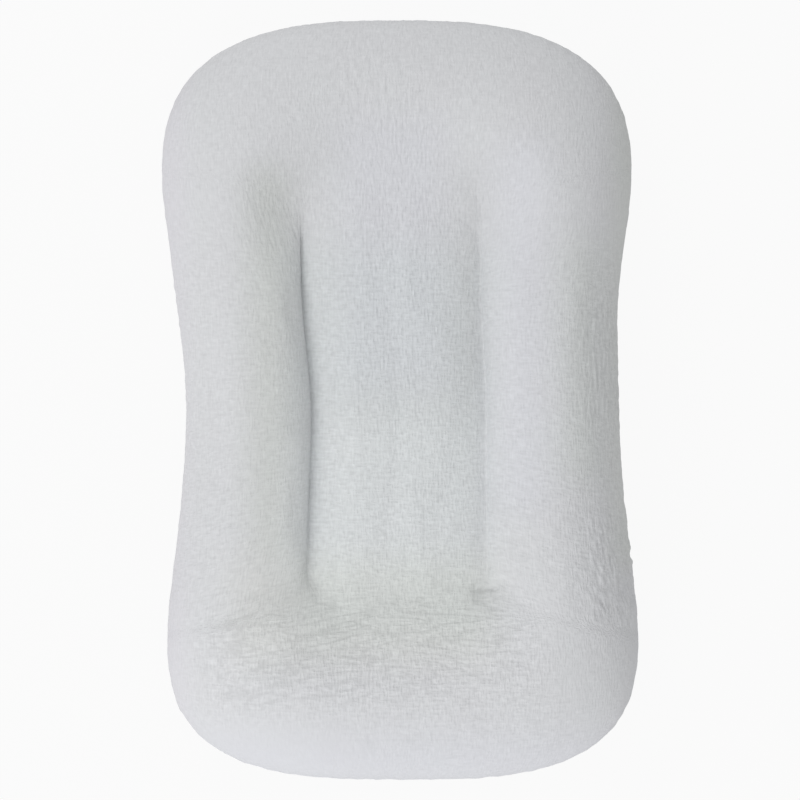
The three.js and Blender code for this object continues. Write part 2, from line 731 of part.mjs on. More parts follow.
function addZip() {
  for (const [side, sign] of Object.entries({ right: 1, left: -1 })) {
    add("zipper_tape_" + side, tape(sign), ribbon);
    add("zipper_teeth_" + side, teeth(sign), nylon);
    const [stopNear, stopFar] = sign > 0 ? [beadInner, beadOuter] : [-beadOuter, -beadInner];
    const stop = block(
      vec(stopNear, -chainHalf - sewnGap - stopLength, chainHeight - channelHalf),
      vec(stopFar, -chainHalf - sewnGap, chainHeight + channelHalf),
    );
    add("zipper_top_stop_" + side, stop, nylon);
  }
  const bottomStop = block(
    vec(-beadOuter, chainHalf + sewnGap, chainHeight - channelHalf),
    vec(beadOuter, chainHalf + sewnGap + stopLength, chainHeight + channelHalf),
  );
  add("zipper_bottom_stop", bottomStop, nylon);

  const slider = new THREE.Group();
  slider.position.set(0, sliderPlace, chainHeight);
  lounger.add(slider);
  add("zipper_slider", sliderBody(), enamel, slider);
  const tab = add("zipper_pull_tab", pullTab(), enamel, slider);
  tab.position.z = hingeHeight - chainHeight;
  tab.rotation.x = -tabDroop;
}

addCover();
addShell();
addFilling();
addZip();

export default lounger;
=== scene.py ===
import functools
import math

import bpy
import numpy as np
from bpy.props import FloatProperty, FloatVectorProperty, IntProperty, PointerProperty
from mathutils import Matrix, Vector


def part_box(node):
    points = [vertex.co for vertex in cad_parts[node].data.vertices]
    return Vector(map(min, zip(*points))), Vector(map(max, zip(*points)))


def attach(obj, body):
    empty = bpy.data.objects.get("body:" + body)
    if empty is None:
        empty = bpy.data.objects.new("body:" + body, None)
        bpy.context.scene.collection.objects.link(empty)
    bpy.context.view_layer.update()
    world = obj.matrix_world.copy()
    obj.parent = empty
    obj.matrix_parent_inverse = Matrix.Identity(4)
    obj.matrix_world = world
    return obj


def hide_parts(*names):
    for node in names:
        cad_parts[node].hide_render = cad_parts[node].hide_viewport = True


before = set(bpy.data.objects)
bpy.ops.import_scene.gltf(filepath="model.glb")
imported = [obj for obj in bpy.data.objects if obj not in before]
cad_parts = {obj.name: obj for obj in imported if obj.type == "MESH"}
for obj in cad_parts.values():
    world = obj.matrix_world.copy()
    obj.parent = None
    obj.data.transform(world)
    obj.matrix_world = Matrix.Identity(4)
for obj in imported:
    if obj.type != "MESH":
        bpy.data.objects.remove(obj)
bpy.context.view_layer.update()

bl_info = {
    "name": "Muslin Infant Lounger",
    "version": (1, 0, 0),
    "blender": (4, 5, 0),
    "location": "View3D > Sidebar > Lounger",
    "description": "Builds a stuffed infant lounger in a zipped muslin cover round its packed frame",
    "category": "Add Mesh",
}

COVER_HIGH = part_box("cover_top_panel")[1]
TEETH_LOW, TEETH_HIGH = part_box("zipper_teeth_right")
STOP_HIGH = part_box("zipper_bottom_stop")[1]
LABEL_LOW, LABEL_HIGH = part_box("care_label")


def length(name, description, default):
    return FloatProperty(name=name, description=description, default=default, unit="LENGTH")


def power(name, description, default):
    return FloatProperty(name=name, description=description, default=default, unit="POWER")


class LoungerForm(bpy.types.PropertyGroup):
    """Sizes of the stuffed body, repeated from the part"""

    head_width: length("Head Width", "Widest at the head end", 0.456)
    waist_width: length("Waist Width", "Narrowest, near the middle", 0.420)
    foot_width: length("Foot Width", "Widest at the foot end", 0.457)
    head_cap: length("Head Cap", "Length over which the head end closes", 0.1545)
    foot_cap: length("Foot Cap", "Length over which the foot end closes", 0.146)
    side_height: length("Side Height", "Crown of the two long sides", COVER_HIGH.z)
    head_height: length("Head Height", "Crown of the head end", 0.110)
    foot_height: length("Foot Height", "Crown of the foot end", 0.114)
    seam_height: length("Seam Height", "Height of the edge seam", 0.050)
    well_width: length("Well Width", "Between the two channels", 0.172)
    sling_height: length("Sling Height", "Height of the muslin in the channels", 0.088)
    sling_crown: length("Sling Crown", "How far the pad lifts the muslin", 0.010)


class MuslinLook(bpy.types.PropertyGroup):
    """Colour, crinkle and slack of the gauze"""

    color: FloatVectorProperty(
        name="Colour", description="Pale grey of the muslin", subtype="COLOR", default=(0.614, 0.621, 0.631))
    wrinkle: length("Wrinkle", "Height of the streaks and wrinkles", 0.00022)
    crinkle: length("Crinkle", "Depth of the finest crinkles", 0.0006)
    pucker: length("Pucker", "Height of the puckers along the edge seam", 0.0002)
    slack: FloatProperty(
        name="Slack", description="How much larger the muslin is than its stuffing", default=0.0015)
    seed: IntProperty(name="Seed", description="Which wrinkles the cloth has", default=11)


class StageLook(bpy.types.PropertyGroup):
    """The floor, the lamps and the camera"""

    foot_lamp: power("Foot Lamp", "Power of the soft lamp beyond the foot", 19.5)
    head_lamp: power("Head Lamp", "Power of the soft lamp beyond the head", 13.0)
    low_lamp: power("Low Lamp", "Power of each lamp that shows the underside", 5.5)
    sky: FloatProperty(name="Sky", description="Strength of the even light all round", default=0.68)
    camera_height: length("Camera Height", "Above the edge seam", 3.0)
    metres_per_pixel: FloatProperty(
        name="Metres per Pixel", description="In the photograph, at the edge seam", default=0.0009718,
        precision=7)


# The stuffed body: its formulas and sizes are the part's own, in metres.

HEAD_POWER, FOOT_POWER = 2.75, 3.0
WAIST_PLACE, WAIST_POWER = 0.0075, 1.4
HEAD_DRIFT, FOOT_DRIFT = -0.0032, 0.0027
DRIFT_START, DRIFT_END = 0.120, -0.020
CROWN_SHARE = 0.57
WELL_OFFSET = -0.005
SPINE_HEAD, SPINE_FOOT = 0.197, -0.187
SPINE_MIDDLE, SPINE_HALF = (SPINE_HEAD + SPINE_FOOT) / 2, (SPINE_HEAD - SPINE_FOOT) / 2
WELL_END_REACH, WELL_END_POWER = 0.022, 2.5
CREASE_FADE_HEAD, CREASE_FADE_FOOT = 0.095, 0.032
SLING_END_RISE, SLING_END_POWER = 0.012, 3
SLING_CROWN_POWER, SLING_SECTION_POWER = 4, 3
SLING_BELLY, END_PAD_DEPTH = 0.008, 0.010
FLOOR_REACH, FLOOR_WIDTH = 0.036, 0.046
PLATEAU_HEIGHT, PLATEAU_MARGIN = 0.014, 0.034
OPENING_HALF_WIDTH, OPENING_HALF_LENGTH = 0.007, 0.195

COVER_THICKNESS, SHELL_THICKNESS, BINDING_THICKNESS = 0.0012, 0.0008, 0.0008
LAYER_GAP, SEWN_GAP, JOIN_GAP = 0.0005, 0.0003, 0.00004
BINDING_DEPTH = COVER_THICKNESS + LAYER_GAP
SHELL_DEPTH = BINDING_DEPTH + BINDING_THICKNESS + LAYER_GAP
SHELL_INNER_DEPTH = SHELL_DEPTH + SHELL_THICKNESS
SHELL_BINDING_DEPTH = SHELL_INNER_DEPTH + LAYER_GAP
FILL_DEPTH = SHELL_BINDING_DEPTH + BINDING_THICKNESS + LAYER_GAP
CHANNEL_DEPTH = SHELL_INNER_DEPTH + LAYER_GAP + SHELL_THICKNESS
BINDING_HALF_HEIGHT = 0.006

# The muslin bulges over its left-hand channel, beside a narrow slit that bows towards the middle.
LIP_HEIGHT, LIP_POWER, LIP_REACH_SHARE = 0.0050, 50, 0.8
SLIT_DEPTH, SHELL_SLIT_DEPTH, SLIT_OVERHANG = 0.0036, 0.0015, 0.0018
SLIT_START, SLIT_END, SLIT_FADE = -0.175, 0.205, 0.060
BOW_DEPTH, BOW_PLACE, BOW_REACH, BOW_REST = 0.0042, -0.015, 0.090, 0.0010

# How finely the cloth is laid out before it is subdivided
SIDE_STEPS, CAP_STEPS = 56, 72
CAP_SAMPLES = 40  # along the arc of a rounded end, for each of its steps
OUTER_STEPS, INNER_STEPS = 20, 20
LOWER_STEPS, FLOOR_STEPS, RISE_STEPS, LEVEL_STEPS = 12, 7, 10, 6
EASE_STATIONS = 4
RELAX_ROUNDS, RELAX_REACH = 24, 0.050
RELAX_ACROSS = 1.1, 1.7  # where the relaxing fades out across the well, in half widths

# How the muslin settles over its stuffing, and the most that it may move out, and in or sideways
CLOTH_SETTINGS = {
    "quality": 5, "mass": 0.3, "tension_stiffness": 30, "compression_stiffness": 30, "shear_stiffness": 10,
    "bending_stiffness": 8, "vertex_group_mass": "sewn", "use_pressure": True, "uniform_pressure_force": 0.6,
}
SETTLE_FRAMES = 20
SETTLE_OUT, SETTLE_IN = 0.003, 0.001
SEWN_SHARPNESS = 0.5  # from which the channel holds the muslin down

# Random wrinkles: how finely they are drawn, and what each use adds to the seed
FIELD_STEPS, FIELD_PITCH = 1024, 0.0009
PUCKER_SEED, UNDER_SEED, FOLD_SEED, TUFT_SEED = 9, 20, 30, 40

# Seams, their puckers and the gathers at the zip
SEAM_GROOVE, SEAM_ROLL, SEAM_RIM_SHARE = 0.0012, 0.0016, 0.4
PUCKER_REACH, PUCKER_PITCH, PUCKER_STRETCH = 0.009, 0.011, 3
EDGE_FOLDS, EDGE_FOLD_BOX = 0.8, ((0.180, 0.260), (-0.195, -0.095))  # stronger puckers, and where they are
JOIN_GROOVE, JOIN_ROLL = 0.0009, 0.0022
JOIN_BEND = 0.2, 0.37  # from the middle: where the join bends over to the lean of the body
TOPSTITCH_PLACE, TOPSTITCH_GROOVE, TOPSTITCH_DENT = 0.0034, 0.0006, 0.0011
TOPSTITCH_FLAT_SHARE, TOPSTITCH_FADE = 0.1, 3
GATHER_SPACING, GATHER_REACH, GATHER_HEIGHT = (0.030, 0.0075), 0.02, 1.8
FLOOR_FLAT_SHARE, FLOOR_FLAT_HEIGHT = 0.2, 0.004  # of the wrinkles where the muslin lies on the floor
LABEL_CALM = 0.008  # how far round the label the muslin lies flat

# Tapes, threads and filling
STRIP_ROWS, STRIP_SAMPLES, STRIP_STEPS = 6, 40, 4
CHANNEL_TAPE_START, CHANNEL_TAPE_END, CHANNEL_TAPE_STEPS = 0.003, 0.014, 6
CHANNEL_STITCH, CHANNEL_THREAD_RADIUS = 0.006, 0.00045
STITCH_SHARE = 0.82  # of each stitch's pitch that shows as thread
STITCH_SIDES, STITCH_ROUNDING = 6, 0.8
THREAD_RADIUS, TOPSTITCH, TOPSTITCH_END_POINTS = 0.00030, 0.0030, 40
FILLING_RINGS, SLING_PAD_MARGIN_SHARE = 24, 0.22
TUFT_DEPTH, TUFT_PITCH, TUFT_REST, TUFT_SWELL, TUFT_LIMIT = 0.0015, 0.022, 0.4, 0.2, 2
MERGE_DISTANCE = 1e-6

# Label and zip
LABEL_GRID, LABEL_STITCH, LABEL_STITCH_POINTS = (26, 40), 0.0024, 30
LABEL_CURL, LABEL_LEAN, LABEL_CORNER_LIFT = 0.0006, 0.3, 2
TAPE_GRID, ZIP_TAPE_RIB, ZIP_TAPE_RIB_HEIGHT = (48, 160), 0.0016, 0.00008
TAPE_STEP = 0.0003  # over which the tape widens past the chain's stops
TOOTH_PITCH, TOOTH_WIDTH, TOOTH_BEVEL = 0.005, 0.0019, 0.0003
TOOTH_REACH, BEAD_INNER, BEAD_OUTER, BEAD_SHARE, BEAD_SIDES = 0.0009, 0.0016, 0.003, 0.86, 12
CHAIN_THICKNESS = 0.0024
TOOTH_NECK_SHARES = (1.0, 0.8, 0.72, 1.0, 0.9)  # evenly spaced from the bead to the tip
TOOTH_THICKNESS_SHARES = (1.0, 0.9, 0.82)
SMOOTH_ANGLE, CREASE_ANGLE, FLAT_ANGLE = math.radians(40), math.radians(35), math.radians(1)

# The muslin's paint: how far apart its crinkles, threads and patches are in x and y, and its shades, with
# painted shade in valleys
RIDGES, DASHES = (0.0020, 0.0085), (0.0085, 0.0025)
WARP, WEFT, THREAD_HEIGHT = (0.0006, 0.0070), (0.0070, 0.0006), 0.00006
PATCHES = 0.05, 0.08
# Casts of the colour; the green and yellow ones, where shade falls, are partly painted shade.
PINK_CAST, GREEN_CAST = (1.025, 1.0, 1.022, 1.0), (0.970, 1.0, 0.994, 1.0)
BLUE_CAST, YELLOW_CAST = (1.0, 1.0, 1.040, 1.0), (1.0, 1.0, 0.958, 1.0)
CAST_STEP, GREEN_REST, GREEN_PATCHES, YELLOW_REST = 0.4, 0.3, 0.3, 0.5
THREAD_SHADE, PATCH_SHADE, CLOTH_SHADE = 0.10, 0.14, 0.34
FOLD_PAINTED_SHADE = 0.5  # painted shade: how much darker the cloth is painted in the valleys of folds and tucks
# the darkest and lightest shares of the colour: the weave's tone, and painted shade and light on crinkles and
# folds
DARK_TONE_AND_PAINTED_SHADE, LIGHT_TONE_AND_PAINTED_LIGHT = 0.90, 1.10
PAINTED_SHADING_SHARE = 0.1  # how much lighter a whole step of painted light makes the colour, and darker a step of painted shade

# The other finishes: the two colours of each, its pattern's pitches and the height of its bumps
WHITE = (1, 1, 1, 1)
COTTON_COLORS = (0.74, 0.70, 0.60, 1), (0.86, 0.82, 0.73, 1)
COTTON_WEAVE, COTTON_SLUB, COTTON_HEIGHT = 0.0011, (0.0009, 0.012), 0.00012
FIBRE_COLORS = (0.80, 0.80, 0.78, 1), (0.92, 0.92, 0.90, 1)
FIBRE_TUFT, FIBRE_STRAND, FIBRE_HEIGHT = 0.018, 0.0016, 0.0018
TAPE_SHADES = 0.86, 1.04
TAPE_ZIGZAG, TAPE_RIB, TAPE_WEAR, TAPE_HEIGHT = 0.0022, 0.0009, 0.004, 0.00015
THREAD_COLORS = (0.62, 0.64, 0.64, 1), (0.76, 0.78, 0.78, 1)
THREAD_TWIST, THREAD_FUZZ, TWIST_HEIGHT = 0.0005, 0.0008, 0.00008
SATIN_COLORS = (0.78, 0.78, 0.76, 1), (0.90, 0.90, 0.88, 1)
SATIN_FLOAT, SATIN_HEIGHT = (0.006, 0.0003, 0.006), 0.00006
NYLON_COLORS = (0.66, 0.68, 0.67, 1), (0.76, 0.78, 0.77, 1)
NYLON_FLOW, NYLON_HEIGHT = (0.004, 0.0015, 0.004), 0.00005
ENAMEL_COLORS = (0.66, 0.68, 0.67, 1), (0.52, 0.53, 0.52, 1)  # whole, and worn
CAST_GRAIN, SCUFFS, CAST_HEIGHT = 0.0009, (0.0004, 0.005, 0.004), 0.00004
EDGE_START, EDGE_CONTRAST = 0.53, 8.0  # how sharp an edge is where the enamel starts to wear

# The stage
FLOOR_SIZE, FLOOR_GAP, FLOOR_COLOR = 12.0, 0.0005, (0.42, 0.42, 0.42, 1)
FLOOR_LIGHT = 0.42  # what the floor sends up to the lounger
CAMERA_RAY_SHARE = 0.93
SEEN_RAYS = ("Is Camera Ray", "Is Glossy Ray", "Is Transmission Ray")
LAMP_SIZE = 1.2
LAMP_PLACES = (-0.75, -1.7, 1.1), (-0.75, 1.7, 1.1), (-1.3, -0.1, -0.7), (1.5, -1.3, -0.6)
FRAME_PIXELS = 800

# Each kind of wrinkle: its spacing across x and y, its lean in degrees, its strength, the box of x and y that
# it fills and the box's soft edge, in metres.
EVERYWHERE = (-1.0, 1.0)
TOP_WRINKLES = (
    (0.0050, 0.0062, 0, 0.30, EVERYWHERE, EVERYWHERE, 0.01),  # the gauze's grain
    (0.030, 0.045, 0, 0.35, EVERYWHERE, EVERYWHERE, 0.01),  # slack
    (0.0046, 0.016, 0, 0.36, (-0.23, 0.17), (-0.03, 0.37), 0.05),
    (0.0050, 0.018, 10, 0.55, (-0.150, -0.100), (0.145, 0.215), 0.02),
    (0.0055, 0.050, 0, 2.20, (0.175, 0.225), (-0.028, 0.090), 0.012),
    (0.0055, 0.024, 22, 2.60, (0.180, 0.240), (-0.210, -0.110), 0.015),
    (0.0070, 0.045, 0, 0.80, (-0.060, 0.015), (0.250, 0.370), 0.02),
    (0.0070, 0.040, 8, 0.70, (-0.055, 0.000), (-0.370, -0.280), 0.02),
)
UNDER_WRINKLES = (
    (0.0050, 0.0062, 0, 0.30, EVERYWHERE, EVERYWHERE, 0.01),
    (0.0056, 0.022, 0, 0.45, EVERYWHERE, EVERYWHERE, 0.01),
    (0.012, 0.045, 20, 0.80, EVERYWHERE, EVERYWHERE, 0.01),
    (0.035, 0.050, 0, 1.60, EVERYWHERE, EVERYWHERE, 0.01),
)
# The same for wavy folds, whose valleys are narrow
TOP_FOLDS = (
    (0.060, 0.0180, 7, 1.00, (-0.185, -0.010), (-0.290, -0.190), 0.025),
    (0.060, 0.0180, -1, 0.90, (-0.010, 0.120), (-0.285, -0.180), 0.025),
    (0.040, 0.0200, 3, 0.40, (-0.060, 0.180), (-0.340, -0.270), 0.03),
    (0.040, 0.0170, -2, 0.35, (-0.210, 0.180), (-0.190, -0.050), 0.03),
    (0.011, 0.0500, 12, 0.40, (-0.130, -0.080), (0.130, 0.230), 0.02),
)
VALLEY_SHARE = 0.4  # of the waves' usual height: the valleys are where the waves are lower
FOLD_DEPTH = 0.00035

# Where the pale grey leans to green (or to pink, below zero), to yellow (or to blue), and where it has
# painted light (or painted shade, below zero), with the box of x and y and its soft edge. The green and
# yellow casts lie where shade falls, in the well, by the left-hand channel, at the foot and on the right-hand
# flank: partly the cloth's tint and partly painted shade.
TINTS_AND_PAINTED_SHADING = (
    (1.0, 0.0, 0.0, (-0.105, 0.085), (-0.230, 0.150), 0.035),
    (-0.8, -0.4, 0.0, (-0.260, -0.205), EVERYWHERE, 0.020),
    (0.6, 1.0, -0.3, (-0.145, -0.105), (-0.150, 0.220), 0.025),
    (0.0, 1.0, 0.0, (-0.160, 0.090), (-0.250, -0.150), 0.030),
    (0.6, 1.0, 0.0, (0.205, 0.250), (-0.160, 0.320), 0.020),
    (0.8, 0.6, 0.0, (0.155, 0.195), (-0.080, 0.150), 0.030),
    (0.0, -0.6, 0.0, (-0.060, 0.045), (0.010, 0.270), 0.030),
    (0.0, -0.7, 0.0, (0.092, 0.142), (-0.110, 0.250), 0.030),
    (0.0, -0.8, 0.0, EVERYWHERE, (-0.380, -0.320), 0.040),
    (0.0, 0.0, 0.7, (-0.078, 0.072), (-0.160, -0.020), 0.030),
    (0.0, 0.0, -0.35, (0.046, 0.086), (-0.040, 0.215), 0.024),
    (0.0, 0.0, -0.40, (0.058, 0.084), (0.020, 0.185), 0.016),
    (0.0, 0.0, 0.7, (-0.115, -0.090), (-0.170, -0.040), 0.012),
    (0.0, 0.0, 0.5, (-0.140, -0.070), (-0.240, -0.205), 0.015),
    (0.0, 0.0, -0.8, (0.066, 0.102), (-0.204, -0.178), 0.010),
)

# How strong the finest crinkles are lengthwise and crosswise, and the boxes of x and y
CRINKLES = (
    (0.85, 0.45, EVERYWHERE, EVERYWHERE, 0.01),
    (0.25, 0.30, (-0.085, 0.075), (-0.190, 0.200), 0.02),
    (0.15, 0.60, (-0.230, 0.230), (-0.190, 0.150), 0.04),
    (0.60, 0.95, (-0.190, 0.140), (-0.300, -0.195), 0.03),
    (0.20, 0.15, EVERYWHERE, (0.180, 0.370), 0.03),
    (0.60, 0.25, (0.165, 0.240), (-0.240, 0.110), 0.03),
    (0.00, 0.25, (0.030, 0.180), (-0.350, -0.290), 0.03),
    (-0.50, -0.40, (-0.230, -0.020), (-0.370, -0.310), 0.03),
)
UNDER_CRINKLES = ((0.80, 0.80, EVERYWHERE, EVERYWHERE, 0.01),)

# Short folds by the channels' ends and along them: place, way, half length, half width and depth, in metres.
TUCKS = (
    ((0.0795, -0.1814), (1.0, 0.10), 0.013, 0.0013, 0.0052),
    ((0.0910, -0.1802), (1.0, 0.40), 0.006, 0.0012, 0.0020),
    ((0.0720, -0.1775), (0.3, 1.0), 0.004, 0.0012, 0.0014),
    ((0.0770, -0.1867), (1.0, 0.00), 0.009, 0.0040, 0.0020),
    ((0.0830, -0.1952), (1.0, -0.25), 0.014, 0.0024, 0.0014),
    ((0.0850, -0.1600), (0.2, 1.0), 0.003, 0.0014, 0.0009),
    ((0.0734, -0.1754), (0.2, 1.0), 0.003, 0.0014, 0.0009),
    ((-0.0790, -0.1790), (1.0, 0.30), 0.006, 0.0015, 0.0012),
    ((-0.0830, -0.1700), (0.3, 1.0), 0.005, 0.0014, 0.0010),
    ((-0.1000, 0.1600), (-0.4, 1.0), 0.010, 0.0020, 0.0008),
)
TUCK_LIMIT = 0.0024  # so that the shell stays hidden
TUCK_PAINTED_SHADE = 0.9  # how deep in a fold the deepest tuck counts for the muslin's painted shade


def smoothstep(value, low, high):
    share = np.clip((value - low) / (high - low), 0, 1)
    return share * share * (3 - 2 * share)


def mix(a, b, share):
    return a + (b - a) * share


def unit(vectors):
    return vectors / np.linalg.norm(vectors, axis=-1, keepdims=True)


def lifted(plan, height):
    """Plan points with a height each."""
    return np.concatenate([plan, np.broadcast_to(height, plan.shape[:-1])[..., None]], axis=-1)


def run_along(line):
    """How far along a line each of its points lies."""
    steps = np.linalg.norm(np.diff(line, axis=0), axis=1)
    return np.concatenate([[0], np.cumsum(steps)])


def drift_at(y):
    return mix(FOOT_DRIFT, HEAD_DRIFT, smoothstep(y, DRIFT_END, DRIFT_START))


class Body:
    """The stuffed body's outline and section, with one entry for each station round the outline.

    Stations run anticlockwise, seen from above: up the right-hand side, round the head end, down the
    left-hand side and round the foot end. Rows run from the outline inwards."""

    def __init__(self, form, slit=0.0):
        self.form = form
        self.slit = slit
        self.head_start = COVER_HIGH.y - form.head_cap
        self.foot_start = form.foot_cap - COVER_HIGH.y
        shares = np.linspace(0, 1, SIDE_STEPS + 1)
        parts = self.side(1, shares), self.cap(1), self.side(-1, shares[::-1]), self.cap(-1)
        self.outline, self.spine, self.crease, self.crown, self.opening = map(np.concatenate, zip(*parts))
        self.left = self.crease[:, 0] < self.spine[:, 0]
        self.crease[:, 0] += self.bow(self.crease[:, 1]) * self.left
        self.outline = eased(self.outline)

    def half_width(self, y):
        form = self.form
        at_head = y > WAIST_PLACE
        width = np.where(at_head, form.head_width, form.foot_width)
        place = np.where(at_head, self.head_start, self.foot_start)
        away = np.minimum((y - WAIST_PLACE) / (place - WAIST_PLACE), 1)
        return (width - (width - form.waist_width) * (1 - away**2) ** WAIST_POWER) / 2

    def bow(self, y):
        """How far the slit over the left-hand channel lies to the right of the channel."""
        near = smoothstep(SPINE_HALF - np.abs(y - SPINE_MIDDLE), -WELL_END_REACH, 2 * WELL_END_REACH)
        bend = BOW_DEPTH * np.exp(-(((y - BOW_PLACE) / BOW_REACH) ** 2)) - BOW_REST
        return bend * near * (self.slit > 0)

    def spine_point(self, share):
        y = mix(SPINE_FOOT, SPINE_HEAD, share)
        return np.stack([drift_at(y) + WELL_OFFSET, y], axis=-1)

    def side(self, sign, shares):
        y = mix(self.foot_start, self.head_start, shares)
        outline = np.stack([drift_at(y) + sign * self.half_width(y), y], axis=-1)
        spine = self.spine_point(shares)
        crease = spine + [sign * self.form.well_width / 2, 0]
        along = (2 * shares - 1) * OPENING_HALF_LENGTH
        opening = np.stack([np.full_like(along, sign * OPENING_HALF_WIDTH), along], axis=-1)
        return outline, spine, crease, np.full(len(shares), self.form.side_height), opening

    def cap(self, end):
        """One rounded end, evenly stepped along its outline, without the corners that the sides have."""
        power = HEAD_POWER if end > 0 else FOOT_POWER
        start = self.head_start if end > 0 else self.foot_start
        length = self.form.head_cap if end > 0 else self.form.foot_cap

        def place(angle):
            across = np.sign(np.cos(angle)) * np.abs(np.cos(angle)) ** (2 / power)
            along = np.abs(np.sin(angle)) ** (2 / power)
            x = drift_at(start) + across * self.half_width(start)
            return np.stack([x, start + end * along * length], axis=-1)

        fine = np.linspace(0, math.pi, CAP_SAMPLES * CAP_STEPS + 1)
        run = run_along(place(fine))
        angle = np.interp(np.linspace(0, run[-1], CAP_STEPS + 1)[1:-1], run, fine)
        if end < 0:
            angle = angle[::-1]
        outline = place(angle)
        spine = np.broadcast_to(self.spine_point(1 if end > 0 else 0), outline.shape)
        way = unit(outline - spine)
        across = np.abs(2 * way[:, 0] / self.form.well_width) ** WELL_END_POWER
        along = np.abs(way[:, 1] / WELL_END_REACH) ** WELL_END_POWER
        crease = spine + way * (across + along)[:, None] ** (-1 / WELL_END_POWER)
        end_height = self.form.head_height if end > 0 else self.form.foot_height
        crown = mix(self.form.side_height, end_height, np.sin(angle) ** 2)
        around = np.stack([np.cos(angle), end * np.sin(angle)], axis=-1) * OPENING_HALF_WIDTH
        return outline, spine, crease, crown, around + [0, end * OPENING_HALF_LENGTH]

    def sharpness(self):
        """How sharply the bolster drops into its channel: 1 is a sewn channel, 0 a smooth slope."""
        y = self.crease[:, 1]
        head = smoothstep(y, SPINE_HEAD - CREASE_FADE_HEAD, SPINE_HEAD + WELL_END_REACH)
        foot = smoothstep(-y, -SPINE_FOOT - CREASE_FADE_FOOT, WELL_END_REACH - SPINE_FOOT)
        return (1 - head) * (1 - foot)

    def sling_edge(self, y):
        rise = np.abs((y - SPINE_MIDDLE) / SPINE_HALF) ** SLING_END_POWER
        return self.form.sling_height + SLING_END_RISE * rise

    def across_sling(self, x, y):
        x = x - drift_at(y) - WELL_OFFSET
        return x / (self.form.well_width / 2 - self.bow(y) * (x < 0))

    def along_sling(self, y):
        return np.clip(1 - np.abs((y - SPINE_MIDDLE) / SPINE_HALF) ** SLING_CROWN_POWER, 0, 1)

    def sling_surface(self, plan):
        """The muslin between the channels, lifted by the pad."""
        x, y = plan[..., 0], plan[..., 1]
        across = self.across_sling(x, y)
        rise = self.form.sling_crown * np.clip(1 - np.abs(across) ** SLING_SECTION_POWER, 0, 1)
        if self.slit:
            lip = LIP_HEIGHT * np.clip(1 - np.abs(across) ** LIP_POWER, 0, 1)
            rise = rise + lip * smoothstep(-across, 0, LIP_REACH_SHARE)
        return lifted(plan, self.sling_edge(y) + rise * self.along_sling(y))

    def sling_underside(self, plan):
        """The shell's lower cloth between the channels, hanging under the pad."""
        x, y = plan[..., 0], plan[..., 1]
        across = np.clip(np.abs(self.across_sling(x, y)) ** SLING_SECTION_POWER, 0, 1)
        depth = CHANNEL_DEPTH + SLING_BELLY * (1 - across) * self.along_sling(y)
        return lifted(plan, self.sling_edge(y) - depth - END_PAD_DEPTH * (1 - self.along_sling(y)))

    def bolster(self):
        """The muslin from the edge seam over the crown to the channel."""
        crown = mix(self.outline, self.crease, CROWN_SHARE)
        outer = np.linspace(0, 1, OUTER_STEPS, endpoint=False) * math.pi / 2
        plan = mix(self.outline[:, None], crown[:, None], (1 - np.cos(outer))[None, :, None])
        seam = self.form.seam_height + SEWN_GAP / 2
        outer_rows = lifted(plan, mix(seam, self.crown[:, None], np.sin(outer)))
        inner = np.linspace(0, 1, INNER_STEPS + 1) * math.pi / 2
        away = np.sin(inner)
        drop = mix((1 + np.cos(math.pi * away)) / 2, np.cos(inner), self.sharpness()[:, None])
        plan = mix(crown[:, None], self.crease[:, None], away[None, :, None])
        edge = self.sling_edge(self.crease[:, 1])[:, None]
        rows = np.concatenate([outer_rows, lifted(plan, mix(edge, self.crown[:, None], drop))], axis=1)
        ring = np.arange(rows.shape[1])
        share = smoothstep(ring, 0, OUTER_STEPS / 4)
        share = share * (1 - smoothstep(ring, OUTER_STEPS, OUTER_STEPS + INNER_STEPS))
        rows = mix(rows, eased(rows), share[:, None])
        if self.slit:
            y = self.crease[:, 1]
            deep = self.left * smoothstep(y, SLIT_START, SLIT_START + SLIT_FADE)
            deep = deep * (1 - smoothstep(y, SLIT_END - SLIT_FADE, SLIT_END))
            rows[:, -1, 2] -= self.slit * deep
            rows[:, -1, 0] -= SLIT_OVERHANG * deep
        return rows

    def patch(self, rim):
        """Plan points that fill a rim of one point for each station: rows run from foot to head."""
        right = rim[: SIDE_STEPS + 1]
        head = rim[SIDE_STEPS : SIDE_STEPS + CAP_STEPS + 1][::-1]
        left = rim[SIDE_STEPS + CAP_STEPS : 2 * SIDE_STEPS + CAP_STEPS + 1][::-1]
        foot = np.concatenate([rim[2 * SIDE_STEPS + CAP_STEPS :], rim[:1]])
        along = np.linspace(0, 1, SIDE_STEPS + 1)[:, None, None]
        across = np.linspace(0, 1, CAP_STEPS + 1)[None, :, None]
        sides = mix(left[:, None], right[:, None], across)
        ends = mix(foot[None], head[None], along)
        return sides + ends - mix(mix(foot[0], foot[-1], across), mix(head[0], head[-1], across), along)

    def floor_band(self):
        """The underside from the edge seam to the inner edge of the band that rests on the floor."""
        inward = unit(self.crease - self.outline)
        angle = np.linspace(0, 1, LOWER_STEPS + 1) * math.pi / 2
        flat = FLOOR_REACH + FLOOR_WIDTH * np.linspace(0, 1, FLOOR_STEPS + 1)[1:]
        reach = np.concatenate([FLOOR_REACH * (1 - np.cos(angle)), flat])
        height = (self.form.seam_height - SEWN_GAP / 2) * (1 - np.sin(angle))
        height = np.concatenate([height, np.zeros(FLOOR_STEPS)])
        return lifted(self.outline[:, None] + inward[:, None] * reach[None, :, None], height[None])

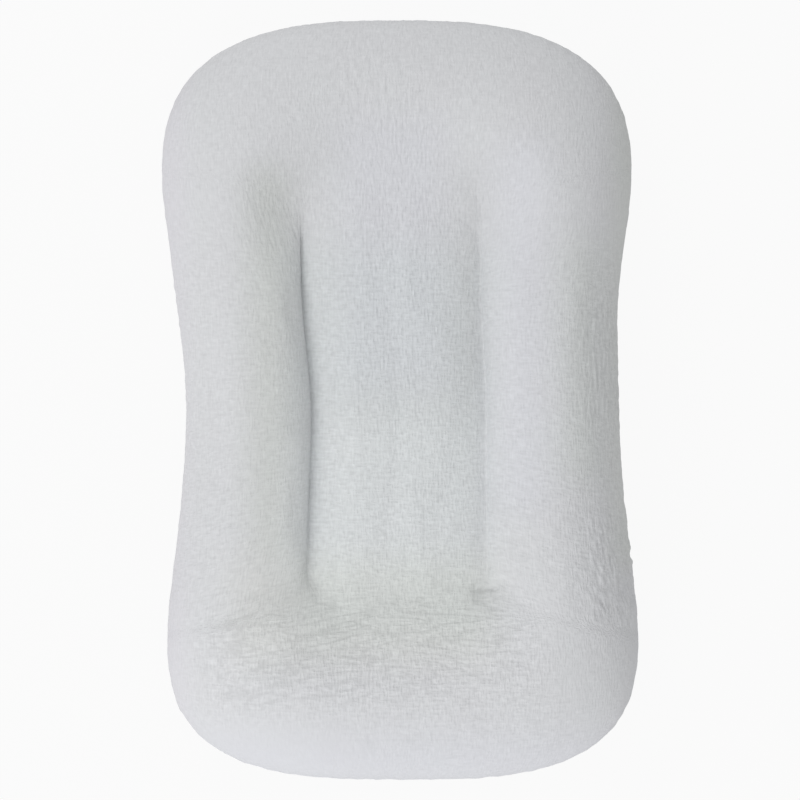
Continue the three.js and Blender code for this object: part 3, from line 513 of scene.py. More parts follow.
    def underside(self):
        """The cover from the edge seam under the body to the zip's opening."""
        band = self.floor_band()
        start, edge = band[:, -1:, :2], self.opening[:, None]
        length = np.linalg.norm(edge - start, axis=2)
        level = np.maximum(1 - PLATEAU_MARGIN / length, 0)
        share = np.linspace(0, 1, RISE_STEPS + 1)[1:]
        climb = lifted(mix(start, edge, (share * level)[..., None]), PLATEAU_HEIGHT * smoothstep(share, 0, 1))
        share = np.linspace(0, 1, LEVEL_STEPS + 1)[1:]
        flat = lifted(mix(start, edge, mix(level, 1, share)[..., None]), PLATEAU_HEIGHT)
        return np.concatenate([band, climb, flat], axis=1)

    def shell_underside(self):
        """The shell from the edge seam along the floor and up the bolster's inner flank to the channel."""
        band = self.floor_band()
        inner = band - grid_normals(band, -1) * SHELL_DEPTH
        foot = inner[:, -1:]
        angle = np.linspace(0, 1, INNER_STEPS + 1)[1:] * math.pi / 2
        away = np.sin(angle)
        climb = mix((1 - np.cos(math.pi * away)) / 2, 1 - np.cos(angle), self.sharpness()[:, None])
        channel = self.sling_underside(self.crease)[:, None]
        plan = mix(foot[..., :2], channel[..., :2], away[None, :, None])
        return np.concatenate([inner, lifted(plan, mix(foot[..., 2], channel[..., 2], climb))], axis=1)


def eased(stations):
    """Points at each station, with sudden turns from one station to the next spread over several."""
    number = np.arange(len(stations))
    distance = np.minimum(number, len(stations) - number)
    kernel = np.exp(-((distance / EASE_STATIONS) ** 2))
    kernel = np.fft.rfft(kernel / kernel.sum()).reshape(-1, *[1] * (stations.ndim - 1))
    kept = kernel * (2 - kernel)  # so that wide curves aren't drawn in
    return np.fft.irfft(np.fft.rfft(stations, axis=0) * kept, n=len(stations), axis=0)


def grid_normals(rows, facing):
    """Normals of a band of rows that goes all the way round: facing is 1 on top of the body and -1 below."""
    along = np.roll(rows, -1, axis=0) - np.roll(rows, 1, axis=0)
    return unit(np.cross(along, np.gradient(rows, axis=1))) * facing


def resampled(rows, count):
    """Each row with this many points, evenly spaced along it."""
    new = []
    for row in rows:
        run = run_along(row)
        places = np.linspace(0, run[-1], count)
        new.append(np.stack([np.interp(places, run, row[:, axis]) for axis in range(3)], -1))
    return np.array(new)


# Cloth as arrays

def quads(grid):
    """Faces of a grid of vertex numbers, anticlockwise seen with rows up and columns to the right."""
    return np.stack([grid[:-1, :-1], grid[:-1, 1:], grid[1:, 1:], grid[1:, :-1]], axis=-1).reshape(-1, 4)


def boundary(faces):
    """The edges that have a face on one side only, each in its own face's direction."""
    edges = np.stack([faces, np.roll(faces, -1, axis=1)], axis=-1).reshape(-1, 2)
    keys = edges.min(axis=1) * (edges.max() + 1) + edges.max(axis=1)
    _, first, count = np.unique(keys, return_index=True, return_counts=True)
    return edges[first[count == 1]]


def on_cloth(rows, anchor, way):
    """Where each point of the rows lies on the flat cloth, unrolled outwards from the rows' inner ends."""
    steps = np.linalg.norm(np.diff(rows, axis=1), axis=2)
    run = np.concatenate([np.cumsum(steps[:, ::-1], axis=1)[:, ::-1], np.zeros((len(rows), 1))], axis=1)
    return anchor[:, None] + way[:, None] * run[..., None]


class Surface:
    """Cloth: its points, four-sided faces that face out, and each point's place on the flat cloth."""

    def __init__(self, points, faces, flat):
        self.points = points
        self.faces = faces
        self.flat = flat

    def normals(self):
        corners = self.points[self.faces]
        across = np.cross(corners[:, 2] - corners[:, 0], corners[:, 3] - corners[:, 1])
        sums = np.zeros_like(self.points)
        for corner in range(4):
            np.add.at(sums, self.faces[:, corner], across)
        return unit(sums)

    def moved(self, depth):
        """The same cloth, this far into the lounger."""
        depth = np.asarray(depth)
        return Surface(self.points - self.normals() * depth.reshape(-1, 1), self.faces, self.flat)


def band_surface(rows, flat, facing, closed=True):
    """The cloth of rows of points: facing is 1 on top of the body and -1 below."""
    grid = np.arange(rows.shape[0] * rows.shape[1]).reshape(rows.shape[:2])
    if closed:
        grid = np.concatenate([grid, grid[:1]])
    faces = quads(grid)
    return Surface(rows.reshape(-1, 3), faces[:, ::-1] if facing > 0 else faces, flat.reshape(-1, 2))


def with_patch(body, rows, flat, middle, facing):
    """A band all the way round and the patch inside its last ring, as one stretch of cloth."""
    band = band_surface(rows, flat, facing)
    count, rings = rows.shape[:2]
    rim = np.arange(count) * rings + rings - 1
    grid = np.full((SIDE_STEPS + 1, CAP_STEPS + 1), -1)
    grid[:, -1] = rim[: SIDE_STEPS + 1]
    grid[-1, :] = rim[SIDE_STEPS : SIDE_STEPS + CAP_STEPS + 1][::-1]
    grid[:, 0] = rim[SIDE_STEPS + CAP_STEPS : 2 * SIDE_STEPS + CAP_STEPS + 1][::-1]
    grid[0, :-1] = rim[2 * SIDE_STEPS + CAP_STEPS :]
    inside = middle[1:-1, 1:-1]
    grid[1:-1, 1:-1] = count * rings + np.arange(inside.shape[0] * inside.shape[1]).reshape(inside.shape[:2])
    faces = quads(grid)
    points = np.concatenate([band.points, inside.reshape(-1, 3)])
    flat = np.concatenate([band.flat, inside[..., :2].reshape(-1, 2)])
    return Surface(points, np.concatenate([band.faces, faces if facing > 0 else faces[:, ::-1]]), flat)


def relaxed(surface, share):
    """The cloth with each point drawn towards its neighbours, by its share, over and over."""
    faces = surface.faces
    pairs = np.concatenate([faces[:, [a, (a + 1) % 4]] for a in range(4)])
    count = np.bincount(pairs[:, 0], minlength=len(surface.points))[:, None]
    places = np.concatenate([surface.points, surface.flat], axis=1)
    for _ in range(RELAX_ROUNDS):
        sums = [np.bincount(pairs[:, 0], column[pairs[:, 1]], len(places)) for column in places.T]
        places = mix(places, np.stack(sums, axis=-1) / count, share[:, None])
    return Surface(places[:, :3], faces, places[:, 3:])


def top_surface(body):
    """The muslin's whole top: the bolster all round and the sling in its middle."""
    rows = body.bolster()
    flat = on_cloth(rows, body.crease, unit(body.crease - body.spine))
    top = with_patch(body, rows, flat, body.sling_surface(body.patch(body.crease)), 1)
    x, y = np.abs(body.across_sling(*top.points[:, :2].T)), top.points[:, 1]
    head = smoothstep(y, SPINE_HEAD - CREASE_FADE_HEAD / 2, SPINE_HEAD)
    foot = smoothstep(-y, -SPINE_FOOT - CREASE_FADE_FOOT / 2, -SPINE_FOOT)
    past = smoothstep(np.abs(y - SPINE_MIDDLE) - SPINE_HALF, RELAX_REACH, 2 * RELAX_REACH)
    return relaxed(top, (head + foot) * (1 - past) * (1 - smoothstep(x, *RELAX_ACROSS)) / 2)


def shell_under_surface(body):
    rows = body.shell_underside()
    flat = on_cloth(rows, body.crease, unit(body.crease - body.spine))
    return with_patch(body, rows, flat, body.sling_underside(body.patch(body.crease)), -1)


def underside_half(body, first, last):
    """One half of the muslin's underside, from a station in the middle of an end to the next such station."""
    rows = body.underside()
    flat = on_cloth(rows, body.opening, unit(body.outline - body.opening))
    chosen = np.arange(first, last + 1) % len(rows)
    rows, flat = rows[chosen].copy(), flat[chosen]
    rows[0] += unit(rows[1] - rows[0]) * JOIN_GAP / 2
    rows[-1] += unit(rows[-2] - rows[-1]) * JOIN_GAP / 2
    return band_surface(rows, flat, -1, closed=False)


# Meshes and objects

def deselect():
    bpy.ops.object.select_all(action="DESELECT")


def alone(piece):
    """Makes one object the active one and the only one selected."""
    deselect()
    bpy.context.view_layer.objects.active = piece
    piece.select_set(True)
    return piece


def finished(piece, kind, **settings):
    """Adds a modifier with its settings and applies it."""
    alone(piece)
    modifier = piece.modifiers.new(kind.title(), kind)
    for name, value in settings.items():
        setattr(modifier, name, value)
    bpy.ops.object.modifier_apply(modifier=modifier.name)
    return piece


def edited(piece, *steps):
    """Runs edit-mode operators, each with its settings, on the whole of one object's mesh."""
    alone(piece)
    bpy.ops.object.mode_set(mode="EDIT")
    bpy.ops.mesh.select_all(action="SELECT")
    for operator, settings in steps:
        operator(**settings)
    bpy.ops.object.mode_set(mode="OBJECT")
    return piece


def face_corners(mesh):
    """The vertex number at each corner of each face."""
    corners = np.empty(len(mesh.loops), dtype=np.int32)
    mesh.loops.foreach_get("vertex_index", corners)
    return corners


def spread_cloth(mesh, flat):
    """Stores each vertex's place on the flat cloth, for the weave."""
    layer = mesh.uv_layers.get("cloth") or mesh.uv_layers.new(name="cloth")
    layer.data.foreach_set("uv", flat[face_corners(mesh)].astype(np.float32).ravel())


def mesh_object(name, points, faces, flat=None):
    mesh = bpy.data.meshes.new(name)
    mesh.from_pydata(points.tolist(), [], faces)
    if flat is not None:
        spread_cloth(mesh, flat)
    mesh.shade_smooth()
    piece = bpy.data.objects.new(name, mesh)
    bpy.context.scene.collection.objects.link(piece)
    return piece


def vertex_places(mesh):
    places = np.empty(3 * len(mesh.vertices), dtype=np.float32)
    mesh.vertices.foreach_get("co", places)
    return places.reshape(-1, 3).astype(float)


def level_grid(name, low, high, steps):
    """A level grid over the middle of a box, and the places of its points."""
    size = high - low
    deselect()
    bpy.ops.mesh.primitive_grid_add(
        x_subdivisions=steps[0], y_subdivisions=steps[1], size=1, location=(low + high) / 2)
    piece = bpy.context.object
    piece.name = name
    bpy.ops.transform.resize(value=(size.x, size.y, 1))
    bpy.ops.object.transform_apply()
    return piece, vertex_places(piece.data)


def subdivided(surface, levels):
    """The cloth with smooth subdivision. Its first points are the coarse ones, in their old order."""
    piece = mesh_object("subdividing", surface.points, surface.faces.tolist(), surface.flat)
    finished(piece, "SUBSURF", levels=levels, render_levels=levels)
    mesh = piece.data
    fine = Surface(vertex_places(mesh), face_corners(mesh).reshape(-1, 4), cloth_places(mesh))
    bpy.data.objects.remove(piece)
    bpy.data.meshes.remove(mesh)
    return fine


def cloth_body(name, surface, thickness, levels=0, relief=None):
    """A closed body of cloth: its outside is subdivided and crinkled, and its inside stays plain."""
    inside = surface.moved(thickness)
    outside = subdivided(surface, levels) if levels else surface
    if relief:
        outside = outside.moved(-relief(outside))
    if levels:
        shift = outside.points[: len(surface.points)] - surface.points
        inside.points = inside.points + shift
    count = len(outside.points)
    after = dict(boundary(outside.faces).tolist())
    faces = outside.faces.tolist() + (inside.faces[:, ::-1] + count).tolist()
    for start, end in boundary(surface.faces).tolist():
        walk = [start]
        while walk[-1] != end:
            walk.append(after[walk[-1]])
        faces.append(walk[::-1] + [start + count, end + count])
    points = np.concatenate([outside.points, inside.points])
    points[:, 2] = np.maximum(points[:, 2], 0)
    return mesh_object(name, points, faces, np.concatenate([outside.flat, inside.flat]))


def cloth_places(mesh):
    """The place of each of the mesh's points on the flat cloth."""
    places = np.empty(2 * len(mesh.loops), dtype=np.float32)
    mesh.uv_layers["cloth"].data.foreach_get("uv", places)
    flat = np.zeros((len(mesh.vertices), 2))
    flat[face_corners(mesh)] = places.reshape(-1, 2)
    return flat


def stored(piece, name, values):
    """Stores three numbers at each point, for the paint to read."""
    attribute = piece.data.attributes.new(name, "FLOAT_VECTOR", "POINT")
    attribute.data.foreach_set("vector", values.astype(np.float32).ravel())


def crinkled(piece, kinds, folds=(), tints_and_painted_shading=(), look=None):
    """Stores what the muslin's paint reads at each point: how strong the finest crinkles are, lengthwise and
    crosswise, how deep the point lies in folds and tucks, for their painted shade, and its casts to green and
    to yellow and its painted light and shade."""
    points = vertex_places(piece.data)
    strength = np.zeros_like(points)
    for lengthwise, crosswise, x, y, soft in kinds:
        strength += np.outer(region(points, x, y, soft), (lengthwise, crosswise, 0))
    if folds:
        folding = folded(points, cloth_places(piece.data), folds, look)
        # painted shade: the valleys of folds and tucks are painted darker by this depth
        strength[:, 2] = folding + TUCK_PAINTED_SHADE * (tucks(points) / TUCK_LIMIT) ** 2
    stored(piece, "crinkle", strength)
    # casts, partly painted shade, and painted light and shade, one soft box at a time
    tint_and_painted_shading = np.zeros_like(points)
    for green, yellow, light, x, y, soft in tints_and_painted_shading:
        tint_and_painted_shading += np.outer(region(points, x, y, soft), (green, yellow, light))
    stored(piece, "tint_and_painted_shading", tint_and_painted_shading)


def dressed(piece, body, slot, material, *nodes):
    """Gives a piece its material, hides the CAD solids that it stands for, and lets it ride on a body."""
    piece.data.materials.clear()
    piece.data.materials.append(material)
    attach(piece, body)
    if nodes:
        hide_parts(*nodes)
    return piece


# Settling and wrinkling

def settled(surface, sewn, slack):
    """The cloth after it has settled over its stuffing, blown out a little between its sewn lines."""
    piece = mesh_object("settling", surface.points, surface.faces.tolist())
    piece.vertex_groups.new(name="sewn").add(sewn.tolist(), 1, "REPLACE")
    modifier = piece.modifiers.new("Cloth", "CLOTH")
    for name, value in CLOTH_SETTINGS.items():
        setattr(modifier.settings, name, value)
    modifier.settings.shrink_min = -slack
    modifier.settings.effector_weights.gravity = 0
    modifier.collision_settings.use_collision = False
    scene = bpy.context.scene
    for number in range(1, SETTLE_FRAMES + 1):
        scene.frame_set(number)
    mesh = piece.evaluated_get(bpy.context.evaluated_depsgraph_get()).data
    move = vertex_places(mesh) - surface.points
    scene.frame_set(1)
    bpy.data.objects.remove(piece)
    normals = surface.normals()
    out = np.sum(move * normals, axis=1, keepdims=True)
    sideways = move - out * normals
    move = np.clip(out, -SETTLE_IN, SETTLE_OUT) * normals
    points = surface.points + move + np.clip(sideways, -SETTLE_IN, SETTLE_IN)
    return Surface(points, surface.faces, surface.flat)


@functools.cache
def wrinkles(seed, across, along, turn=0.0, lines=False):
    """A square of random wrinkles that repeats, this far apart in x and in y, before it is turned. As lines,
    they run on along the way in which they lie further apart."""
    rng = np.random.default_rng(seed)
    waves = np.fft.fftfreq(FIELD_STEPS, FIELD_PITCH)
    x, y = waves[None, :], waves[:, None]
    angle = math.radians(turn)
    cross = (x * math.cos(angle) + y * math.sin(angle)) * across
    run = (y * math.cos(angle) - x * math.sin(angle)) * along
    reach = cross**2 + run**2
    narrow = cross if across < along else run
    share = np.exp(-reach) * (narrow**2 if lines else reach)
    field = np.fft.ifft2(np.fft.fft2(rng.standard_normal((FIELD_STEPS, FIELD_STEPS))) * share).real
    return field / field.std()


def sampled(field, flat):
    """The field's value at places on the flat cloth."""
    place = flat / FIELD_PITCH
    low = np.floor(place).astype(int)
    right, up = (place - low).T
    x, y = low.T % FIELD_STEPS
    beyond_x, beyond_y = (x + 1) % FIELD_STEPS, (y + 1) % FIELD_STEPS
    here = mix(field[y, x], field[y, beyond_x], right)
    return mix(here, mix(field[beyond_y, x], field[beyond_y, beyond_x], right), up)


def region(points, x, y, soft=0.03):
    """1 inside a box seen from above, falling to 0 over a soft edge."""
    inside = 1.0
    for axis, (low, high) in enumerate((x, y)):
        place = points[:, axis]
        inside = inside * smoothstep(place, low - soft, low + soft)
        inside = inside * (1 - smoothstep(place, high - soft, high + soft))
    return inside


def tucks(points):
    """How far the short folds draw the muslin in."""
    depth = np.zeros(len(points))
    for (x, y), (way_x, way_y), half_length, half_width, fold in TUCKS:
        length = math.hypot(way_x, way_y)
        along = ((points[:, 0] - x) * way_x + (points[:, 1] - y) * way_y) / length
        across = ((points[:, 1] - y) * way_x - (points[:, 0] - x) * way_y) / length
        reach = np.clip(1 - (along / half_length) ** 2, 0, 1)
        depth += fold * reach * np.exp(-((across / half_width) ** 2))
    return TUCK_LIMIT * np.tanh(depth / TUCK_LIMIT)


def wrinkled(cloth, kinds, look):
    """The height of rounded wrinkles of several kinds, each in its own box."""
    height = np.zeros(len(cloth.points))
    for number, (across, along, turn, strength, x, y, soft) in enumerate(kinds):
        field = wrinkles(look.seed + number, across, along, turn)
        height += strength * sampled(field, cloth.flat) * region(cloth.points, x, y, soft)
    return look.wrinkle * height


def folded(points, flat, kinds, look):
    """How deep the cloth lies in folds whose valleys are narrow and wander, each kind in its own box."""
    depth = np.zeros(len(points))
    for number, (across, along, turn, strength, x, y, soft) in enumerate(kinds):
        waves = sampled(wrinkles(look.seed + FOLD_SEED + number, across, along, turn, lines=True), flat)
        depth += strength * np.exp(-((waves / VALLEY_SHARE) ** 2)) * region(points, x, y, soft)
    return depth


def seam_puckers(points, form, look):
    """Puckers that run out of the edge seam, and the groove that the seam lies in."""
    above = np.abs(points[:, 2] - form.seam_height)
    angle = np.arctan2(points[:, 1], points[:, 0])
    outline = np.stack([angle * form.head_width / 2, above], axis=-1)
    pitches = PUCKER_PITCH, PUCKER_STRETCH * PUCKER_PITCH
    pucker = sampled(wrinkles(look.seed + PUCKER_SEED, *pitches), outline)
    groove = SEAM_GROOVE * np.clip(1 - above / SEAM_ROLL, 0, 1) ** 2
    away = np.hypot(points[:, 0] / form.waist_width, points[:, 1] / (2 * COVER_HIGH.y))
    strength = look.pucker * (1 + EDGE_FOLDS * region(points, *EDGE_FOLD_BOX))
    fullness = above / PUCKER_REACH * np.exp(1 - above / PUCKER_REACH)
    return (strength * pucker * fullness - groove) * (away > SEAM_RIM_SHARE)


def top_relief(form, look):
    """The heights of the wrinkles, puckers and tucks over the top panel."""

    def relief(cloth):
        points = cloth.points
        folds = FOLD_DEPTH * folded(points, cloth.flat, TOP_FOLDS, look)
        height = wrinkled(cloth, TOP_WRINKLES, look) - folds
        return height - tucks(points) + seam_puckers(points, form, look)

    return relief


def under_relief(form, look):
    """The heights of the wrinkles on a half of the underside, its seams and its topstitched edge."""

    def relief(cloth):
        points = cloth.points
        x, y, z = points.T
        along = np.abs(y)
        from_zip = np.hypot(x, np.maximum(along - OPENING_HALF_LENGTH, 0)) - OPENING_HALF_WIDTH
        gathers = sampled(wrinkles(look.seed + UNDER_SEED, *GATHER_SPACING), cloth.flat)
        gathers = gathers * np.exp(-from_zip / GATHER_REACH)
        stitched = TOPSTITCH_GROOVE * np.exp(-(((from_zip - TOPSTITCH_PLACE) / TOPSTITCH_DENT) ** 2))
        from_join = np.abs(x - mix(0, drift_at(y), smoothstep(along, *JOIN_BEND)))
        join = JOIN_GROOVE * np.clip(1 - from_join / JOIN_ROLL, 0, 1) ** 2 * (along > OPENING_HALF_LENGTH)
        pressed = mix(FLOOR_FLAT_SHARE, 1, smoothstep(z, 0.0, FLOOR_FLAT_HEIGHT))
        sewn_edge = smoothstep(from_zip, TOPSTITCH_PLACE, TOPSTITCH_FADE * TOPSTITCH_PLACE)
        sewn = mix(TOPSTITCH_FLAT_SHARE, 1, sewn_edge)
        height = wrinkled(cloth, UNDER_WRINKLES, look) + GATHER_HEIGHT * look.wrinkle * gathers
        label_box = (LABEL_LOW.x, LABEL_HIGH.x), (LABEL_LOW.y, LABEL_HIGH.y)
        labelled = region(points, *label_box, LABEL_CALM)
        height = height * pressed * sewn * (1 - labelled)
        return height - stitched - join + seam_puckers(points, form, look)

    return relief


# Materials

class Wire:
    """An output of a shader node. Arithmetic on wires and numbers adds Math nodes."""

    def __init__(self, paint, socket):
        self.paint = paint
        self.socket = socket

    def math(self, operation, *values):
        return self.paint.node("ShaderNodeMath", {"operation": operation}, values)

    def __add__(self, other):
        return self.math("ADD", self, other)

    __radd__ = __add__

    def __sub__(self, other):
        return self.math("SUBTRACT", self, other)

    def __rsub__(self, other):
        return self.math("SUBTRACT", other, self)

    def __mul__(self, other):
        return self.math("MULTIPLY", self, other)

    __rmul__ = __mul__

    def sine(self):
        return self.math("SINE", self)

    def clipped(self):
        return self.math("MINIMUM", self.math("MAXIMUM", self, 0.0), 1.0)


class Paint:
    """A material, or the world, whose nodes are added one expression at a time."""

    def __init__(self, name, group="materials"):
        self.material = getattr(bpy.data, group).new(name)
        self.material.use_nodes = True
        self.tree = self.material.node_tree
        self.tree.nodes.clear()

    def node(self, kind, settings=None, inputs=(), output=0):
        node = self.tree.nodes.new(kind)
        for name, value in (settings or {}).items():
            setattr(node, name, value)
        for key, value in inputs.items() if isinstance(inputs, dict) else enumerate(inputs):
            if isinstance(value, Wire):
                self.tree.links.new(value.socket, node.inputs[key])
            else:
                node.inputs[key].default_value = value
        return Wire(self, node.outputs[output])

    def on_cloth(self):
        """The place on the flat cloth, in metres."""
        return self.node("ShaderNodeUVMap", {"uv_map": "cloth"})

    def on_object(self):
        return self.node("ShaderNodeTexCoord", output="Object")

    def noise(self, place, *pitches, detail=2.0, turn=0.0):
        """Soft noise whose spots are this many metres apart along each axis."""
        scale = [1 / pitch for pitch in pitches] + [1.0] * (3 - len(pitches))
        inputs = {"Vector": place, "Rotation": (0, 0, math.radians(turn)), "Scale": scale}
        mapped = self.node("ShaderNodeMapping", {"vector_type": "POINT"}, inputs)
        return self.node("ShaderNodeTexNoise", inputs={"Vector": mapped, "Scale": 1.0, "Detail": detail})

    def axis(self, place, number):
        return self.node("ShaderNodeSeparateXYZ", inputs=(place,), output=number)

    def ribs(self, place, number, pitch):
        """Waves along one axis, this far apart, from -1 to 1."""
        return (self.axis(place, number) * (2 * math.pi / pitch)).sine()

    def blend(self, factor, first, second):
        """A colour between two colours."""
        sockets = {0: factor, 6: first, 7: second}  # the Mix node's sockets for colours
        return self.node("ShaderNodeMix", {"data_type": "RGBA"}, sockets, output=2)

    def bump(self, height, distance, below=None):
        inputs = {"Height": height, "Distance": distance}
        if below:
            inputs["Normal"] = below
        return self.node("ShaderNodeBump", inputs=inputs)

    def principled(self, **inputs):
        named = {
            name.replace("_", " ").title().replace("Ior", "IOR"): value for name, value in inputs.items()}
        return self.shown(self.node("ShaderNodeBsdfPrincipled", inputs=named))

    def shown(self, shader, kind="ShaderNodeOutputMaterial"):
        out = self.tree.nodes.new(kind)
        self.tree.links.new(shader.socket, out.inputs["Surface"])
        return self.material

    def seen(self):
        """1 for what the camera sees, also through metal and glass, and 0 for light that falls on things."""
        return sum(self.node("ShaderNodeLightPath", output=kind) for kind in SEEN_RAYS).clipped()


def shaded(color, factor):
    """A colour made lighter or darker, with its alpha."""
    return tuple(channel * factor for channel in color[:3]) + (1.0,)


@functools.cache
def muslin():
    """Double gauze: pale grey, dry, with a grid of fine crinkles, painted shade in the valleys of crinkles,
    folds and tucks, and soft areas of painted light and shade.
    """
    look = bpy.context.scene.lounger_muslin
    paint = Paint("muslin")
    place = paint.on_cloth()
    strength = paint.node("ShaderNodeAttribute", {"attribute_name": "crinkle"}, output="Vector")
    # the crinkles' colour: lighter on ridges and darker in valleys, partly the weave's tone and partly
    # painted light and shade
    ridges = (paint.noise(place, *RIDGES, detail=1.0) - 0.5) * paint.axis(strength, 0)
    dashes = (paint.noise(place, *DASHES, detail=1.0) - 0.5) * paint.axis(strength, 1)
    crinkle = ridges + dashes
    threads = paint.noise(place, *WARP, detail=1.0) + paint.noise(place, *WEFT, detail=1.0)
    patches = paint.noise(place, *PATCHES)
    valley = paint.axis(strength, 2)
    # thickness is the colour's tone from crinkles, threads and patches, less painted shade in the valleys of
    # folds and tucks
    thickness = crinkle + threads * THREAD_SHADE + patches * PATCH_SHADE + CLOTH_SHADE
    thickness = (thickness - valley * FOLD_PAINTED_SHADE).clipped()
    color = paint.blend(thickness, shaded(look.color, DARK_TONE_AND_PAINTED_SHADE), shaded(look.color, LIGHT_TONE_AND_PAINTED_LIGHT))
    # casts to green and yellow, partly painted shade, and painted light and shade in soft areas
    tint_and_painted_shading = paint.node("ShaderNodeAttribute", {"attribute_name": "tint_and_painted_shading"}, output="Vector")
    green, yellow, light = (paint.axis(tint_and_painted_shading, number) for number in range(3))
    greener = GREEN_REST + CAST_STEP * green + GREEN_PATCHES * patches
    hue = paint.blend(greener.clipped(), PINK_CAST, GREEN_CAST)
    warmth = paint.blend((YELLOW_REST + CAST_STEP * yellow).clipped(), BLUE_CAST, YELLOW_CAST)
    for cast in (hue, warmth):
        color = paint.node("ShaderNodeVectorMath", {"operation": "MULTIPLY"}, (color, cast))
    # painted light and shade: soft areas made lighter or darker
    lighter = 1 + PAINTED_SHADING_SHARE * light
    color = paint.node("ShaderNodeVectorMath", {"operation": "SCALE"}, {0: color, "Scale": lighter})
    coarse = paint.bump(crinkle, look.crinkle)
    normal = paint.bump(threads, THREAD_HEIGHT, coarse)
    return paint.principled(
        base_color=color, roughness=0.95 + 0.1 * crinkle, normal=normal, sheen_weight=0.08,
        sheen_roughness=0.6, specular_ior_level=0.2)


@functools.cache
def cotton_shell():
    """Plain woven cotton, unbleached."""
    paint = Paint("cotton_shell")
    place = paint.on_cloth()
    weave = paint.ribs(place, 0, COTTON_WEAVE) * paint.ribs(place, 1, COTTON_WEAVE)
    slubs = paint.noise(place, *COTTON_SLUB) * 0.5 + paint.noise(place, *COTTON_SLUB[::-1]) * 0.5
    color = paint.blend(slubs, *COTTON_COLORS)
    return paint.principled(
        base_color=color, roughness=0.85 + 0.1 * slubs, normal=paint.bump(weave + 2 * slubs, COTTON_HEIGHT),
        specular_ior_level=0.2)


@functools.cache
def fibre_fill():
    """White crimped polyester fibre."""
    paint = Paint("fibre_fill")
    place = paint.on_object()
    tufts = paint.noise(place, *[FIBRE_TUFT] * 3, detail=4.0)
    strands = paint.noise(place, *[FIBRE_STRAND] * 3, detail=4.0)
    color = paint.blend(tufts, *FIBRE_COLORS)
    normal = paint.bump(tufts * 0.7 + strands * 0.3, FIBRE_HEIGHT)
    roughness = 0.95 + 0.05 * strands
    return paint.principled(base_color=color, roughness=roughness, normal=normal, sheen_weight=0.3)


@functools.cache
def cotton_tape():
    """Herringbone cotton tape: ribs that lean one way and then the other."""
    look = bpy.context.scene.lounger_muslin
    paint = Paint("cotton_tape")
    place = paint.on_cloth()
    zigzag = paint.node("ShaderNodeMath", {"operation": "PINGPONG"}, (paint.axis(place, 0), TAPE_ZIGZAG))
    ribs = ((paint.axis(place, 1) + zigzag) * (2 * math.pi / TAPE_RIB)).sine()
    wear = paint.noise(place, TAPE_WEAR, TAPE_WEAR)
    shades = (shaded(look.color, shade) for shade in TAPE_SHADES)
    color = paint.blend((ribs * 0.3 + wear).clipped(), *shades)
    return paint.principled(
        base_color=color, roughness=0.8 + 0.1 * wear, normal=paint.bump(ribs, TAPE_HEIGHT),
        specular_ior_level=0.25)


@functools.cache
def thread():
    """Twisted polyester thread with a soft gloss."""
    paint = Paint("thread")
    place = paint.on_object()
    twist = ((paint.axis(place, 0) + paint.axis(place, 1)) * (2 * math.pi / THREAD_TWIST)).sine()
    fuzz = paint.noise(place, *[THREAD_FUZZ] * 3)
    color = paint.blend(fuzz, *THREAD_COLORS)
    return paint.principled(
        base_color=color, roughness=0.45 + 0.2 * fuzz, normal=paint.bump(twist, TWIST_HEIGHT))


@functools.cache
def satin_label():
    """White satin ribbon, its floats running across."""
    paint = Paint("satin_label")
    place = paint.on_object()
    floats = paint.noise(place, *SATIN_FLOAT)
    color = paint.blend(floats, *SATIN_COLORS)
    return paint.principled(
        base_color=color, roughness=0.32 + 0.15 * floats, normal=paint.bump(floats, SATIN_HEIGHT),
        sheen_weight=0.2)


@functools.cache
def zipper_nylon():
    """Moulded nylon, slightly see-through at its thin edges."""
    paint = Paint("zipper_nylon")
    place = paint.on_object()
    flow = paint.noise(place, *NYLON_FLOW)
    color = paint.blend(flow, *NYLON_COLORS)
    return paint.principled(
        base_color=color, roughness=0.35 + 0.15 * flow, normal=paint.bump(flow, NYLON_HEIGHT))


@functools.cache
def slider_enamel():
    """Cast metal under baked pale enamel, with the gloss worn a little on its edges."""
    paint = Paint("slider_enamel")
    place = paint.on_object()
    cast = paint.noise(place, *[CAST_GRAIN] * 3, detail=3.0)
    scuffs = paint.noise(place, *SCUFFS, turn=30)
    edges = paint.node("ShaderNodeNewGeometry", output="Pointiness")
    worn = ((edges - EDGE_START) * EDGE_CONTRAST + (scuffs - 0.5)).clipped()
    color = paint.blend(worn, *ENAMEL_COLORS)
    return paint.principled(
        base_color=color, roughness=0.25 + 0.2 * scuffs + 0.15 * worn, metallic=0.6 * worn,
        normal=paint.bump(cast, CAST_HEIGHT), coat_weight=0.4 * (1 - worn))


# Pieces

def right_half():
    """Stations from the middle of the foot end, up the right-hand side, to the middle of the head end."""
    count = 2 * (SIDE_STEPS + CAP_STEPS)
    return count - CAP_STEPS // 2, count + SIDE_STEPS + CAP_STEPS // 2


class LOUNGER_OT_cover_top(bpy.types.Operator):
    """Add the muslin cover's top panel, settled over the stuffing and crinkled"""

    bl_idname = "lounger.cover_top"
    bl_label = "Cover Top"

    def execute(self, context):
        form, look = context.scene.lounger_form, context.scene.lounger_muslin
        body = Body(form, SLIT_DEPTH)
        surface = top_surface(body)
        rings = OUTER_STEPS + INNER_STEPS + 1
        band = np.arange(len(body.outline) * rings).reshape(-1, rings)
        sharp = body.sharpness() > SEWN_SHARPNESS
        sewn = np.concatenate([band[:, :2].ravel(), band[sharp, -2:].ravel()])
        surface = settled(surface, sewn, look.slack)
        cover = cloth_body("cover_top", surface, COVER_THICKNESS, 2, top_relief(form, look))
        crinkled(cover, CRINKLES, TOP_FOLDS, TINTS_AND_PAINTED_SHADING, look)
        dressed(cover, "lounger", "muslin", muslin(), "cover_top_panel")
        return {"FINISHED"}


